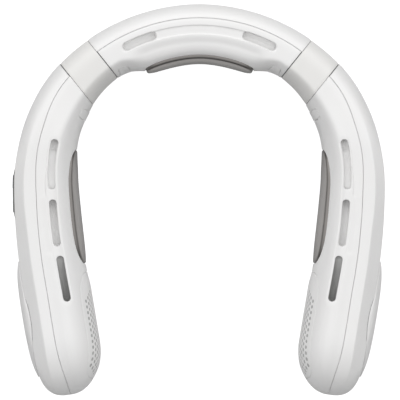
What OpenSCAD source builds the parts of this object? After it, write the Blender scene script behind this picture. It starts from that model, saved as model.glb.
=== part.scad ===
// Electric neck fan: a curved neck piece and two arms, joined by sprung hinges under soft sleeves.
// The origin is at the middle of the floor under it. +Z is up, +Y is towards the nape of the neck,
// and both arms reach towards -Y. Every arm piece is made for the left arm, at negative X, and the
// right arm has its mirror image. Places along a side are lengths on the body's centre line, counted
// from the middle of the neck piece, and places across it are counted outwards from that line.

/* [Ring and arms] */
// Radius of the centre line round the back of the neck
ring_r = 76.8; // [72:0.1:84]
// Distance of the ring's centre behind the origin
ring_y = 6.25; // [4:0.05:9]
// Radius of the gentle inward curve of an arm
arm_r = 280; // [240:5:360]
// Angle by which an arm leans inwards at its nose
arm_lean = 9.4; // [7:0.1:11]
// Straight length of an arm, to the end of its nose
arm_straight = 58.8; // [56:0.1:66]
// Half of the body's usual width, from its neck side to its open side
body_half_w = 16; // [15.5:0.1:18]
// Height of an arm
arm_h = 56; // [54:0.5:62]
// Height of the neck piece and of the hinge sleeves
neck_h = 50; // [48:0.5:54]

/* [Shells] */
// Wall thickness of the shells
wall = 1.8; // [1.4:0.1:2.2]
// Gap along the parting line between an outer and an inner shell
parting_gap = 0.2; // [0.1:0.05:0.4]
// Bow of the open side from top to bottom, where 2 is round and less is flatter
open_bow = 1.7; // [1.5:0.05:2.2]
// Sharpness of an arm's shoulder between its top and its open side
arm_shoulder = 7.5; // [5:0.1:9]
// Sharpness of the neck piece's shoulder
neck_shoulder = 5; // [4:0.1:7]
// Squareness of the neck side's cross-section, where 2 is an ellipse
neck_square = 2.15; // [2:0.05:2.4]
// Height of the full curve over the flat top, as a share of the flat one
crown_share = 1.02; // [1:0.005:1.04]
// Length over which an arm narrows to its nose
tip_l = 24.4; // [22:0.1:27]
// Length over which an arm gets lower to its nose
nose_l = 32.4; // [30:0.1:36]
// Squareness of the nose on the open side
tip_open_square = 3; // [2.4:0.1:3.4]
// Squareness of the nose on the neck side
tip_neck_square = 2; // [1.8:0.1:2.4]
// Squareness of the nose seen from the side
nose_square = 2.5; // [2.2:0.1:3]

/* [Hinges] */
// Angle round the ring at which a hinge pin stands
hinge_angle = 43.8; // [40:0.1:48]
// Angle round the ring that both seams of a sleeve face
seam_angle = 38.7; // [36:0.1:42]
// Length of a hinge sleeve between its seams
sleeve_l = 17.8; // [16:0.1:20]
// Wall thickness of a hinge sleeve
sleeve_wall = 3; // [2:0.1:3.6]
// How far a sleeve's surface lies under that of the shells
sleeve_sink = 0.2; // [0:0.05:0.5]
// Gap between a sleeve and the shell beside it
seam_gap = 0.3; // [0.2:0.05:0.5]
// Wider gap where a shell clears the sleeve as the arm swings
wide_seam_gap = 0.65; // [0.5:0.05:1]
// Radius of a hinge pin
pin_r = 1.5; // [1:0.1:2]
// Radius of the head of a hinge pin
pin_head_r = 2.4; // [2.2:0.1:3]
// Height of the head of a hinge pin
pin_head_h = 1; // [0.8:0.1:1.5]
// Radius of a hinge knuckle
knuckle_r = 4; // [3.4:0.1:4.6]
// Height of the two outer knuckles, each
knuckle_h = 6; // [5:0.5:8]
// Thickness of a hinge leaf
leaf_t = 2.4; // [1.8:0.1:3]
// Height of a hinge
leaf_h = 30; // [26:0.5:34]
// Length of a hinge leaf inside its bracket
leaf_grip = 7; // [6:0.5:8]
// Length of the bracket that closes the end of a shell and holds a leaf
bracket_l = 9; // [8.5:0.1:10]
// Radius of the screws that hold a leaf in its bracket
screw_r = 1; // [0.8:0.05:1.2]
// Length of such a screw under its head
screw_l = 8; // [6:0.5:9]
// Radius of the head of such a screw
screw_head_r = 1.9; // [1.6:0.05:2]
// Height of the head of such a screw
screw_head_h = 1.2; // [1:0.1:1.4]
// Height between the two screws of a leaf
screw_pitch = 16; // [14:0.5:18]
// Distance of a strip's middle in the neck piece from the hinge pin
neck_strip_at = 14.7; // [14:0.1:16]
// Distance of a strip's middle in an arm from the hinge pin
arm_strip_at = 18.9; // [17:0.1:20]
// Length of a strip beside a seam, along the body
strip_l = 5.8; // [5:0.1:6.5]
// Half height of a strip
strip_half_h = 20.5; // [17:0.5:21]
// Thickness of a strip
strip_t = 0.6; // [0.5:0.05:0.8]

/* [Cooling] */
// Distance of an arm's cooling plate past the end of the ring
arm_plate_at = 9.2; // [7:0.1:10]
// Half length of an arm's cooling plate
arm_plate_half_l = 31.5; // [26:0.5:33]
// Half height of an arm's cooling plate
arm_plate_half_h = 19; // [17:0.5:20]
// Half length of the neck's cooling plate
neck_plate_half_l = 33; // [28:0.5:34]
// Half height of the neck's cooling plate
neck_plate_half_h = 17; // [15:0.5:18]
// How far a cooling plate stands out of its shell
plate_proud = 0.8; // [0.5:0.05:1.2]
// Thickness of a cooling plate's skin
plate_t = 2.2; // [1.8:0.1:2.6]
// Squareness of a cooling plate's outline
plate_square = 4; // [2.4:0.1:4.4]
// Gap round a cooling plate
plate_gap = 0.5; // [0.3:0.05:0.7]
// Depth of the flat face behind a cooling plate, under the shell's outside
pad_depth = 4.2; // [4:0.1:5]
// Length of a thermoelectric module along the body
module_l = 24; // [20:0.5:26]
// Height of a thermoelectric module
module_h = 26; // [22:0.5:28]
// Thickness of a thermoelectric module
module_t = 3.4; // [3:0.1:4]
// Thickness of each ceramic plate of a module
ceramic_t = 0.8; // [0.6:0.05:1]
// Length of a heat sink along the body
sink_l = 28; // [24:0.5:30]
// Height of a heat sink
sink_h = 34; // [30:0.5:36]
// Thickness of a heat sink's base
sink_base = 1.5; // [1:0.1:2]
// Reach of a heat sink's fins from its base in an arm
fin_reach = 8.6; // [7:0.1:9]
// Thickness of a fin
fin_t = 0.8; // [0.6:0.05:1.2]
// Distance from one fin to the next
fin_pitch = 3; // [2.4:0.1:4]

/* [Fans] */
// Room over a fan housing, inside its arm
fan_room = 5; // [4.8:0.1:6]
// Distance of a fan housing from the end of the nose
nose_room = 8.8; // [8:0.1:10]
// Width of a fan impeller along its axle
impeller_w = 16; // [13:0.5:16.5]
// Number of blades on a fan impeller
blade_count = 28; // [20:1:34]
// Radial depth of the blades
blade_depth = 4.6; // [4:0.1:5.5]
// Thickness of a blade
blade_t = 0.8; // [0.6:0.05:1]
// Radius of the hub over the motor
hub_r = 9; // [8.5:0.1:10]
// Thickness of the hub and of the disc that carries the blades
hub_t = 1.2; // [1:0.1:1.4]
// Radius of the impeller's shaft
shaft_r = 1.5; // [1:0.1:1.8]
// Room between the impeller and the narrow end of the scroll
scroll_room = 1.2; // [1:0.1:1.3]
// Growth of the scroll's radius over its turn
scroll_growth = 1.4; // [1:0.1:1.6]
// Wall thickness of the fan housing
housing_wall = 1.2; // [1:0.1:1.3]
// Reach of the outlet past the round part of the housing
outlet_reach = 4.8; // [3:0.1:5.5]
// How much smaller the radius of an air intake is than the impeller's
intake_inset = 3; // [2.6:0.1:4]
// Reach of the intake collars beyond the housing's side plates
collar_reach = 3.6; // [3:0.1:3.8]
// Wall thickness of the intake collars
collar_t = 1.2; // [1:0.1:1.5]

/* [Intake covers] */
// Distance of an outer intake cover's middle from the end of the nose
cover_from_nose = 40.4; // [39:0.1:42]
// Half length of an outer intake cover
cover_half_l = 29; // [27:0.5:30]
// Half height of an outer intake cover
cover_half_h = 21; // [19:0.5:22]
// How far an outer intake cover stands out of its shell
cover_proud = 2.7; // [2.2:0.1:3]
// Thickness of an outer intake cover's edge
cover_edge = 0.6; // [0.4:0.1:1]
// Distance of an inner intake grille's middle from the end of the nose
grille_from_nose = 33; // [32:0.1:34]
// Half length of an inner intake grille
grille_half_l = 26.5; // [24:0.5:28]
// Half height of an inner intake grille
grille_half_h = 21; // [17:0.5:22]
// How square the outline of an intake grille is
grille_square = 4.5; // [2:0.1:5]
// How far an inner intake grille stands out of its shell
grille_proud = 0.5; // [0.3:0.05:0.8]
// Depth of the recess that an inner intake grille lies in
grille_recess = 0.8; // [0.6:0.05:0.9]
// Radius of the holes in the covers and grilles
hole_r = 1; // [0.8:0.05:1.1]
// Distance from one hole to the next
hole_pitch = 3.9; // [3.6:0.1:4.6]

/* [Slots] */
// Width of the air slots in the arms
arm_slot_w = 3.75; // [3:0.05:4.2]
// Width of the air slots in the neck piece
neck_slot_w = 4.3; // [3.6:0.05:4.8]
// Angle round the ring of the first end of a neck slot
neck_slot_from = 17.4; // [16:0.1:19]
// Angle round the ring of the second end of a neck slot
neck_slot_to = 27.3; // [25:0.1:28]
// Place of the neck slots, outwards from the centre line
neck_slot_out = 2; // [1:0.1:3]
// Width of the groove that joins the two slots of the neck piece
neck_groove_w = 4.75; // [4:0.05:5]
// Depth of that groove
neck_groove_d = 0.5; // [0.3:0.05:0.7]
// Wall thickness of the air channels under the slots
channel_t = 1; // [0.8:0.05:1.2]
// How much wider a channel is than its slot, on each side
channel_lip = 0.5; // [0.3:0.05:0.7]
// Depth of an arm's channel at its shallow end, from inside the shell
channel_shallow = 1.6; // [1:0.1:2.5]
// Depth of an arm's channel at its deep end
channel_deep = 6.6; // [5:0.1:6.8]
// Depth of the neck piece's channels
neck_channel_d = 1.8; // [1.2:0.1:3]
// Depth of the channels that a fan housing has under the last slots, at their shallow end
outlet_shallow = 2.4; // [2:0.1:3]
// Depth at the deep end of the upper one
outlet_deep = 7.2; // [5:0.1:7.4]
// Depth at the deep end of the lower one
outlet_low_deep = 3; // [2.5:0.1:3.2]

/* [Power] */
// Length of an arm's battery
battery_l = 48; // [44:0.5:50]
// Height of an arm's battery
battery_h = 32; // [28:0.5:34]
// Thickness of an arm's battery
battery_t = 6.2; // [5:0.1:6.4]
// Distance of a battery's middle past the end of the ring
battery_at = 22; // [20:0.5:23]
// Radius of a battery's corners
battery_corner = 2.5; // [2:0.1:3]
// Length of the circuit board in the neck piece
board_l = 44; // [40:0.5:46]
// Height of the circuit board in the neck piece
board_h = 32; // [28:0.5:34]
// Thickness of the circuit boards
board_t = 1; // [0.8:0.1:1.6]
// Width of the charging socket
socket_w = 9; // [8.8:0.1:9.4]
// Thickness of the charging socket
socket_t = 3.3; // [3.1:0.1:3.5]
// Depth of the charging socket
socket_d = 7.4; // [7:0.1:9]
// Wall thickness of the charging socket
socket_wall = 0.4; // [0.3:0.05:0.5]
// Place of the charging socket, outwards from the centre line
socket_out = 3; // [2.5:0.1:3.6]

/* [Controls] */
// Distance of the control panel's middle past the end of the ring
panel_at = 3.4; // [2:0.1:5]
// Half length of the control panel
panel_half_l = 12; // [11:0.5:13]
// Half height of the control panel
panel_half_h = 7; // [6.5:0.1:8]
// How square the outline of the control panel is
panel_square = 2.6; // [2.2:0.1:3]
// How far the control panel stands out of its shell
panel_proud = 0.5; // [0.3:0.05:0.7]
// Depth of the recess that the control panel lies in
panel_recess = 0.7; // [0.5:0.05:0.8]
// Radius of the buttons
button_r = 3.2; // [2.6:0.1:3.4]
// Radius of the flange behind a button
flange_r = 3.9; // [3.7:0.1:4.2]
// Height of the flange behind a button
flange_t = 0.6; // [0.4:0.05:0.7]
// Distance from the middle of the panel to each button
button_at = 5.6; // [5:0.1:6.5]
// How far a button travels
button_travel = 0.35; // [0.2:0.05:0.4]
// Gap between a button and its hole
button_gap = 0.1; // [0.08:0.01:0.15]
// Radius of the plunger of a button's switch
plunger_r = 1; // [0.8:0.1:1.3]

/* [Clearances] */
// Running clearance of a pin or shaft
running = 0.05; // [0.02:0.01:0.08]
// Gap between pieces that sit on each other
seat = 0.3; // [0.2:0.05:0.35]
// Gap between flat faces in contact
contact = 0.1; // [0.05:0.01:0.15]
// How far a cut runs past the surface that it opens
overrun = 4; // [3:0.5:5]

/* [Hidden] */
$fn = 48;

white_shell = "#f1f1ef";
warm_silicone = "#e4e2de";
brushed_aluminium = "#8f8b86";
dark_plastic = "#2b2b2d";
steel = "#b9bbbe";
grey_plastic = "#7d7d7c";
ceramic_white = "#e9e9e4";
board_green = "#2f6b46";
battery_blue = "#5577a8";

// Lengths along a side
quarter_l = PI * ring_r / 2;
curve_l = PI * arm_r * arm_lean / 180;
side_l = quarter_l + curve_l + arm_straight;
mid_z = arm_h / 2;

// The fan fills the height of the arm, and everything of it follows its housing's radius
housing_r = arm_h / 2 - wall - fan_room;
impeller_r = housing_r - housing_wall - scroll_growth - scroll_room;
fan_from_nose = housing_r + nose_room;
outlet_l = housing_r + outlet_reach;
intake_r = impeller_r - intake_inset;

// Tables down a side: a place as a share of its length, then a width as a share of body_half_w
open_side_shares = [[0, 0.92], [0.1, 0.925], [0.238, 0.985], [0.333, 1.04], [0.417, 1.02],
    [0.466, 0.997], [0.665, 0.985], [1, 0.985]];
neck_side_shares = [[0, 0.886], [0.13, 0.886], [0.169, 0.694], [0.186, 0.6], [0.208, 0.556],
    [0.257, 0.562], [0.295, 0.599], [0.33, 0.65], [0.364, 0.69], [0.4, 0.734], [0.43, 0.794],
    [0.461, 0.856], [0.4925, 0.912], [0.528, 0.95], [0.586, 1.006], [0.643, 1.044], [0.71, 1.075],
    [0.82, 1.088], [1, 1.088]];
parting_shares = [[0, 0.469], [0.222, 0.48], [0.302, 0.519], [0.346, 0.512], [0.41, 0.412],
    [0.457, 0.375], [0.519, 0.304], [0.563, 0.281], [0.759, 0.246], [0.896, 0.238], [1, 0.1]];
// The three slots of an arm: both ends down the side, and their places as shares of body_half_w
arm_slot_shares = [[0.435, -0.088, 0.5325, -0.203], [0.572, -0.228, 0.6605, -0.278],
    [0.6995, -0.316, 0.786, -0.337]];
// Where the height changes from that of the sleeves to that of the arms
rise_shares = [0.29, 0.46];
// Spread of the points round the open side of a cross-section
open_spread = 2.7;

function mix(a, b, t) = a + (b - a) * t;
function clamp(t) = max(0, min(1, t));
function ease(t) = let (c = clamp(t)) c * c * (3 - 2 * c);

// A smooth curve through a table of pairs
function slope(table, i) = i <= 0 || i >= len(table) - 1 ? 0 :
    (table[i + 1][1] - table[i - 1][1]) / (table[i + 1][0] - table[i - 1][0]);
function along(table, s) =
    let (x = clamp(abs(s) / side_l))
    let (i = max([for (k = [0 : len(table) - 2]) if (table[k][0] <= x) k]))
    let (run = table[i + 1][0] - table[i][0])
    let (t = (x - table[i][0]) / run)
    table[i][1] * (1 + 2 * t) * (1 - t) * (1 - t)
        + table[i + 1][1] * t * t * (3 - 2 * t)
        + slope(table, i) * run * t * (1 - t) * (1 - t)
        - slope(table, i + 1) * run * t * t * (1 - t);

// The centre line: X, Y and the angle that its outward direction makes with +Y, anticlockwise
function spine(s) =
    let (q = abs(s))
    let (side = s < 0 ? -1 : 1)
    let (turn = 180 * min(q, quarter_l) / (PI * ring_r))
    let (bend = 180 * max(0, min(q - quarter_l, curve_l)) / (PI * arm_r))
    let (run = max(0, q - quarter_l - curve_l))
    [
        -side * (ring_r * sin(turn) - arm_r * (1 - cos(bend)) - run * sin(bend)),
        ring_y + ring_r * cos(turn) - arm_r * sin(bend) - run * cos(bend),
        side * (turn + bend)
    ];
function place(s, u, z) =
    let (p = spine(s))
    [p[0] - u * sin(p[2]), p[1] + u * cos(p[2]), mid_z + z];

// A point beside the centre line at s, in the straight frame that stands there
function beside(s, x, y, z) =
    let (p = spine(s))
    [p[0] - x * sin(p[2]) - y * cos(p[2]), p[1] + x * cos(p[2]) - y * sin(p[2]), mid_z + z];

// Where a plane across the hinge, at distance d from its pin, cuts a line at u
hinge_s = PI * ring_r * hinge_angle / 180;
function cut_s(u, d) = PI * ring_r / 180
    * (seam_angle + asin((d + ring_r * sin(hinge_angle - seam_angle)) / (ring_r + u)));
// A point whose row turns gradually from the cut at distance d to square across the body
seam_fade = 25;
function seat_at(s, u, z, d) =
    let (q = abs(s))
    let (near = clamp(1 - abs(q - cut_s(0, d)) / seam_fade))
    place((s < 0 ? -1 : 1) * (q + near * (cut_s(u, d) - cut_s(0, d))), u, z);

// Half widths and half height of the body, each as far as inset inside its surface
pole_share = 1 - 1e-9;
function rounded(s, l, inset, square) =
    let (x = clamp((abs(s) - (side_l - l)) / (l - inset)))
    x > pole_share ? 0 : pow(1 - pow(x, square), 1 / square);
function open_w(s, inset = 0) = along(open_side_shares, s) * body_half_w - inset;
function neck_w(s, inset = 0) = along(neck_side_shares, s) * body_half_w - inset;
function half_h(s, inset = 0) =
    (mix(neck_h, arm_h, ease((abs(s) / side_l - rise_shares[0]) / (rise_shares[1] - rise_shares[0]))) / 2
        - inset) * rounded(s, nose_l, inset, nose_square);

function shoulder(s) = mix(neck_shoulder, arm_shoulder,
    ease((abs(s) / side_l - rise_shares[0]) / (rise_shares[1] - rise_shares[0])));

// A point of the cross-section at s: angle 0 is its open side, 90 the top and 180 the neck side
function section(s, angle, inset = 0) = cos(angle) >= 0
    ? let (x = pow(cos(angle), 2 / open_spread))
        [
            x * open_w(s, inset) * rounded(s, tip_l, inset, tip_open_square),
            sign(sin(angle)) * half_h(s, inset) * pow(1 - pow(x, shoulder(s)), 1 / open_bow)
        ]
    : [
        -pow(-cos(angle), 2 / neck_square) * neck_w(s, inset) * rounded(s, tip_l, inset, tip_neck_square),
        sign(sin(angle)) * half_h(s, inset) * min(1, crown_share * pow(abs(sin(angle)), 2 / neck_square))
    ];
// The angle at which the parting line, moved outwards by shift, crosses that cross-section
function parting_angle(s, inset, shift) =
    acos(pow((along(parting_shares, s) * body_half_w + shift) / open_w(s, inset), open_spread / 2));

// Height of the shell's top over the middle, at u
function roof(s, u, inset = 0) = half_h(s, inset) * (u >= 0
    ? pow(1 - pow(min(1, u / open_w(s, inset)), shoulder(s)), 1 / open_bow)
    : min(1, crown_share * pow(1 - pow(min(1, -u / neck_w(s, inset)), neck_square), 1 / neck_square)));

// How far the neck side or the open side lies from the centre line at a height z
function neck_wall(s, z, inset = 0) =
    inset - neck_w(s) * rounded(s, tip_l, 0, tip_neck_square)
        * pow(1 - pow(min(1, abs(z) / (crown_share * half_h(s))), neck_square), 1 / neck_square);
function open_wall(s, z, inset = 0) =
    open_w(s) * rounded(s, tip_l, 0, tip_open_square)
        * pow(1 - pow(min(1, abs(z) / half_h(s)), open_bow), 1 / shoulder(s)) - inset;

// A closed solid between two grids of points. A ring joins the last column to the first
module thick_sheet(front, back, ring = false) {
    rows = len(front);
    cols = len(front[0]);
    n = rows * cols;
    last = ring ? cols - 1 : cols - 2;
    function at(i, j) = i * cols + j % cols;
    quads = concat(
        [for (i = [0 : rows - 2], j = [0 : last]) [at(i, j), at(i + 1, j), at(i + 1, j + 1), at(i, j + 1)]],
        [for (i = [0 : rows - 2], j = [0 : last])
            [n + at(i, j), n + at(i, j + 1), n + at(i + 1, j + 1), n + at(i + 1, j)]],
        [for (j = [0 : last]) [at(0, j), at(0, j + 1), n + at(0, j + 1), n + at(0, j)]],
        [for (j = [0 : last])
            [at(rows - 1, j + 1), at(rows - 1, j), n + at(rows - 1, j), n + at(rows - 1, j + 1)]],
        ring ? [] : [for (i = [0 : rows - 2]) [at(i + 1, 0), at(i, 0), n + at(i, 0), n + at(i + 1, 0)]],
        ring ? [] : [for (i = [0 : rows - 2])
            [at(i, cols - 1), at(i + 1, cols - 1), n + at(i + 1, cols - 1), n + at(i, cols - 1)]]
    );
    polyhedron(
        points = concat([for (row = front) each row], [for (row = back) each row]),
        faces = [for (q = quads) each [[q[0], q[1], q[2]], [q[0], q[2], q[3]]]],
        convexity = 8
    );
}

// An oval patch of a wall, centred at s, from one depth to another. Past rim_share it slopes to its edge
patch_steps = 16;
patch_ring_share = 0.6;
function oval(angle, square) = [
    sign(cos(angle)) * pow(abs(cos(angle)), 2 / square),
    sign(sin(angle)) * pow(abs(sin(angle)), 2 / square)
];
function patch_row(side, s, half_l, half_z, square, ring, depth) = [for (k = [0 : patch_steps - 1])
    let (o = ring * oval(360 * k / patch_steps, square))
    let (at_s = s + half_l * o[0])
    let (z = half_z * o[1])
    place(at_s, side == "neck" ? neck_wall(at_s, z, depth) : open_wall(at_s, z, depth), z)
];
module wall_patch(side, s, half_l, half_z, square, top, edge, bottom, rim_share = 0.9) {
    rings = [0, rim_share * patch_ring_share, rim_share, 1];
    depths = [top, top, top, edge];
    front = [for (i = [0 : len(rings) - 1]) patch_row(side, s, half_l, half_z, square, rings[i], depths[i])];
    back = [for (i = [0 : len(rings) - 1]) patch_row(side, s, half_l, half_z, square, rings[i], bottom)];
    if (side == "neck") thick_sheet(front, back, ring = true);
    else thick_sheet(back, front, ring = true);
}
module patch_cut(side, s, half_l, half_z, square, bottom) {
    rings = [0, patch_ring_share, 1];
    front = [for (ring = rings) patch_row(side, s, half_l, half_z, square, ring, -overrun)];
    back = [for (ring = rings) patch_row(side, s, half_l, half_z, square, ring, bottom)];
    if (side == "neck") thick_sheet(front, back, ring = true);
    else thick_sheet(back, front, ring = true);
}

// Local frames: X is outwards, Y is along the side towards the nose, Z is up
module at_side(s, u = 0, z = 0) {
    p = place(s, u, z);
    translate(p) rotate([0, 0, spine(s)[2] + 90]) children();
}
module at_hinge() {
    translate(place(hinge_s, 0, 0)) rotate([0, 0, seam_angle + 90]) children();
}
// A frame on a fan's axle: X is towards the nose, Y is up, Z is outwards
fan_s = side_l - fan_from_nose;
module at_fan() {
    at_side(fan_s) rotate([90, 0, 90]) children();
}
module other_side() {
    mirror([1, 0, 0]) children();
}
// The children, and their mirror image below the middle
module top_and_bottom() {
    children();
    translate([0, 0, 2 * mid_z]) mirror([0, 0, 1]) children();
}
// A block with its four upright edges rounded
module slab(x, y, z, r) {
    translate([0, 0, -z / 2]) {
        translate([-x / 2 + r, -y / 2, 0]) cube([x - 2 * r, y, z]);
        translate([-x / 2, -y / 2 + r, 0]) cube([x, y - 2 * r, z]);
        for (i = [-1, 1], j = [-1, 1])
            translate([i * (x / 2 - r), j * (y / 2 - r), 0]) cylinder(r = r, h = z);
    }
}
module block(x, y, z) {
    translate([-x / 2, -y / 2, -z / 2]) cube([x, y, z]);
}

// Shells: rows of places down the side, and the part of each cross-section that the shell covers
open_steps = 12;
neck_steps = 16;
neck_rows = 9;
arm_rows = 14;
nose_rows = 9;
function inner_s(s, inset) = let (start = side_l - nose_l)
    abs(s) <= start ? s : start + (s - start) * (nose_l - inset) / nose_l;
function shell_grid(rows, open, inset, d) = [for (s = rows)
    let (at_s = inner_s(s, inset))
    let (from = parting_angle(at_s, inset, (open ? 1 : -1) * parting_gap / 2))
    let (to = open ? -from : 360 - from)
    let (steps = open ? open_steps : neck_steps)
    [for (j = [0 : steps])
        let (p = section(at_s, mix(from, to, j / steps), inset))
        seat_at(at_s, p[0], p[1], d)]
];
module shell(rows, open, d) {
    front = shell_grid(rows, open, 0, d);
    back = shell_grid(rows, open, wall, d);
    thick_sheet(back, front);
}
function neck_places(d) = [for (i = [-neck_rows : neck_rows]) cut_s(0, d) * i / neck_rows];
function arm_places(d) = concat(
    [for (i = [0 : arm_rows]) mix(cut_s(0, d), side_l - nose_l, i / arm_rows)],
    [for (i = [1 : nose_rows]) side_l - nose_l * (1 - sin(90 * i / nose_rows))]
);

// A slot through the top and the bottom, between two places of the body
slot_facets = 24;
module slot(from, to, w) {
    run = to - from;
    translate([from[0], from[1], mid_z]) rotate([0, 0, atan2(run[1], run[0])]) {
        translate([0, -w / 2, -mid_z - overrun]) cube([norm([run[0], run[1]]), w, arm_h + 2 * overrun]);
        for (x = [0, norm([run[0], run[1]])])
            translate([x, 0, -mid_z - overrun]) cylinder(d = w, h = arm_h + 2 * overrun, $fn = slot_facets);
    }
}

// An air channel: a rounded trough close under the shell, from one place to another. line gives the
// middle of it as pairs of s and u, and it gets deeper from drop_from to drop_to
channel_slope = 1;
channel_gap = 0.4;
channel_bevel = 0.15;
channel_width_shares = [-1, -0.8, 0, 0.8, 1];
channel_square = 3;
function channel_row(line, s, half, drop, edge) = [for (v = channel_width_shares)
    let (u = lookup(s, line) + v * half, hang = pow(1 - pow(abs(v), channel_square), 1 / channel_square))
    place(s, u, roof(s, u, wall + channel_gap) - edge - drop * hang)];
function channel_grid(line, from, to, half, drop_from, drop_to, out) =
    let (start = from + channel_slope - out, stop = to - channel_slope + out)
    let (knots = [for (p = line) if (p[0] > start + channel_slope && p[0] < stop - channel_slope) p[0]])
    [for (s = concat(from - out, start, knots, stop, to + out))
        channel_row(line, s, half + out, s < start || s > stop ? 0
            : mix(drop_from, drop_to, (s - from) / (to - from)) + out, out * channel_bevel)];
module channel(line, from, to, w, drop_from, drop_to) {
    half = w / 2 + channel_lip;
    thick_sheet(channel_grid(line, from, to, half, drop_from, drop_to, 0),
        channel_grid(line, from, to, half, drop_from, drop_to, channel_t));
}

// The neck piece
neck_cut = -sleeve_l / 2;
neck_line = [[0, neck_slot_out], [quarter_l, neck_slot_out]];
neck_slot_ends = [neck_slot_from, neck_slot_to] * PI * ring_r / 180;
groove_steps = 8;
module groove_cut() {
    function row(s, top) = [for (v = [-1, 1]) let (u = neck_slot_out + v * neck_groove_w / 2)
        place(s, u, top ? half_h(s) + overrun : roof(s, u) - neck_groove_d)];
    places = [for (i = [0 : groove_steps]) mix(-neck_slot_ends[1], neck_slot_ends[1], i / groove_steps)];
    thick_sheet([for (s = places) row(s, true)], [for (s = places) row(s, false)]);
}

// A strip that covers the snap joints beside a seam, on the neck side. depth is how deep it lies
strip_rows = 4;
function strip_row(s, half_h, depth) = [for (i = [0 : strip_rows])
    let (z = half_h * (2 * i / strip_rows - 1))
    place(s, neck_wall(s, z, depth), z)];
module strip_sheet(s, room, from, to) {
    places = [s - strip_l / 2 - room, s + strip_l / 2 + room];
    thick_sheet([for (p = places) strip_row(p, strip_half_h + room, from)],
        [for (p = places) strip_row(p, strip_half_h + room, to)]);
}
neck_strip_s = hinge_s - neck_strip_at;
arm_strip_s = hinge_s + arm_strip_at;
module strip(s) {
    color(white_shell) strip_sheet(s, 0, 0, strip_t);
}
module strip_cut(s) {
    strip_sheet(s, contact, -overrun, strip_t + contact);
}
neck_plate_depth = plate_t - plate_proud;
module neck_outer_shell() {
    color(white_shell) shell(neck_places(neck_cut - seam_gap), true, neck_cut - seam_gap);
}
module neck_inner_shell() {
    color(white_shell) difference() {
        shell(neck_places(neck_cut - wide_seam_gap), false, neck_cut - wide_seam_gap);
        patch_cut("neck", 0, neck_plate_half_l + plate_gap, neck_plate_half_h + plate_gap, plate_square,
            wall + overrun);
        for (side = [-1, 1])
            slot(place(side * neck_slot_ends[0], neck_slot_out, 0),
                place(side * neck_slot_ends[1], neck_slot_out, 0), neck_slot_w);
        top_and_bottom() groove_cut();
        strip_cut(neck_strip_s);
        other_side() strip_cut(neck_strip_s);
        at_socket()
            slab(socket_w + 2 * contact, socket_t + 2 * contact, 2 * overrun, socket_corner + contact);
    }
}
module plate_with_pad(s, half_l, half_z) {
    wall_patch("neck", s, half_l, half_z, plate_square, -plate_proud, 0, neck_plate_depth);
    at_side(s, neck_wall(s, 0, (neck_plate_depth + pad_depth) / 2))
        block(pad_depth - neck_plate_depth, module_l, module_h);
}
module neck_cooling_plate() {
    color(brushed_aluminium) plate_with_pad(0, neck_plate_half_l, neck_plate_half_h);
}

// Thermoelectric module and heat sink, stacked outwards behind a plate at s
function pad_u(s) = neck_wall(s, 0, pad_depth) + contact;
module thermoelectric_module(s) {
    at_side(s, pad_u(s)) translate([module_t / 2, 0, 0]) {
        for (side = [-1, 1])
            translate([side * (module_t - ceramic_t) / 2, 0, 0]) block(ceramic_t, module_l, module_h);
        block(module_t, module_l - 2 * ceramic_t, module_h - 2 * ceramic_t);
    }
}
module heat_sink(s, fins) {
    at_side(s, pad_u(s) + module_t + contact) {
        translate([sink_base / 2, 0, 0]) block(sink_base, sink_l, sink_h);
        n = floor((sink_h - fin_t) / fin_pitch / 2);
        for (i = [-n : n])
            translate([(sink_base + fins) / 2, 0, i * fin_pitch]) block(sink_base + fins, sink_l, fin_t);
    }
}
module neck_thermoelectric_module() {
    color(ceramic_white) thermoelectric_module(0);
}
neck_fin_reach = 5;
module neck_heat_sink() {
    color(brushed_aluminium) heat_sink(0, neck_fin_reach);
}

// The duct behind the two slots on one side of the neck piece: two channels and the web that joins them
module neck_duct() {
    reach = (neck_slot_w + channel_lip) / 2;
    middle = (neck_slot_ends[0] + neck_slot_ends[1]) / 2;
    top = half_h(middle, wall + seat) - neck_channel_d - channel_t / 2;
    color(white_shell) {
        top_and_bottom()
            channel(neck_line, neck_slot_ends[0] - reach, neck_slot_ends[1] + reach, neck_slot_w,
                neck_channel_d, neck_channel_d);
        at_side(middle, neck_slot_out) block(channel_t, neck_slot_ends[1] - neck_slot_ends[0], 2 * top);
    }
}

// The main circuit board stands across the neck piece, between the heat sink and the open side
board_u = 7.4;
chip_t = 1.4;
module main_circuit_board() {
    color(board_green) at_side(0, board_u) {
        block(board_t, board_l, board_h);
        for (y = [-board_l / 3, 0, board_l / 3])
            translate([-board_t / 2 - chip_t / 2, y, 0]) block(chip_t, board_l / 6, board_h / 3);
    }
}
socket_corner = socket_t / 2 - contact;
module at_socket() {
    translate(place(0, socket_out, -neck_h / 2)) children();
}
module charging_socket() {
    color(steel) at_socket() translate([0, 0, socket_d / 2 + contact]) difference() {
        slab(socket_w, socket_t, socket_d, socket_corner);
        translate([0, 0, -2 * socket_wall])
            slab(socket_w - 2 * socket_wall, socket_t - 2 * socket_wall, socket_d,
                socket_corner - socket_wall);
    }
}

// The hinge under a sleeve. Its pin is fixed in the neck leaf, and the arm leaf turns on it
sleeve_steps = 20;
sleeve_row_shares = [0, 0.5, 1];
function sleeve_row(t, inset) = [for (k = [0 : sleeve_steps - 1])
    let (s = mix(cut_s(0, neck_cut), cut_s(0, -neck_cut), t))
    let (p = section(s, 360 * k / sleeve_steps, inset))
    place(mix(cut_s(p[0], neck_cut), cut_s(p[0], -neck_cut), t), p[0], p[1])];
module hinge_sleeve() {
    color(warm_silicone) thick_sheet(
        [for (t = sleeve_row_shares) sleeve_row(t, sleeve_sink + sleeve_wall)],
        [for (t = sleeve_row_shares) sleeve_row(t, sleeve_sink)], ring = true);
}
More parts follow.
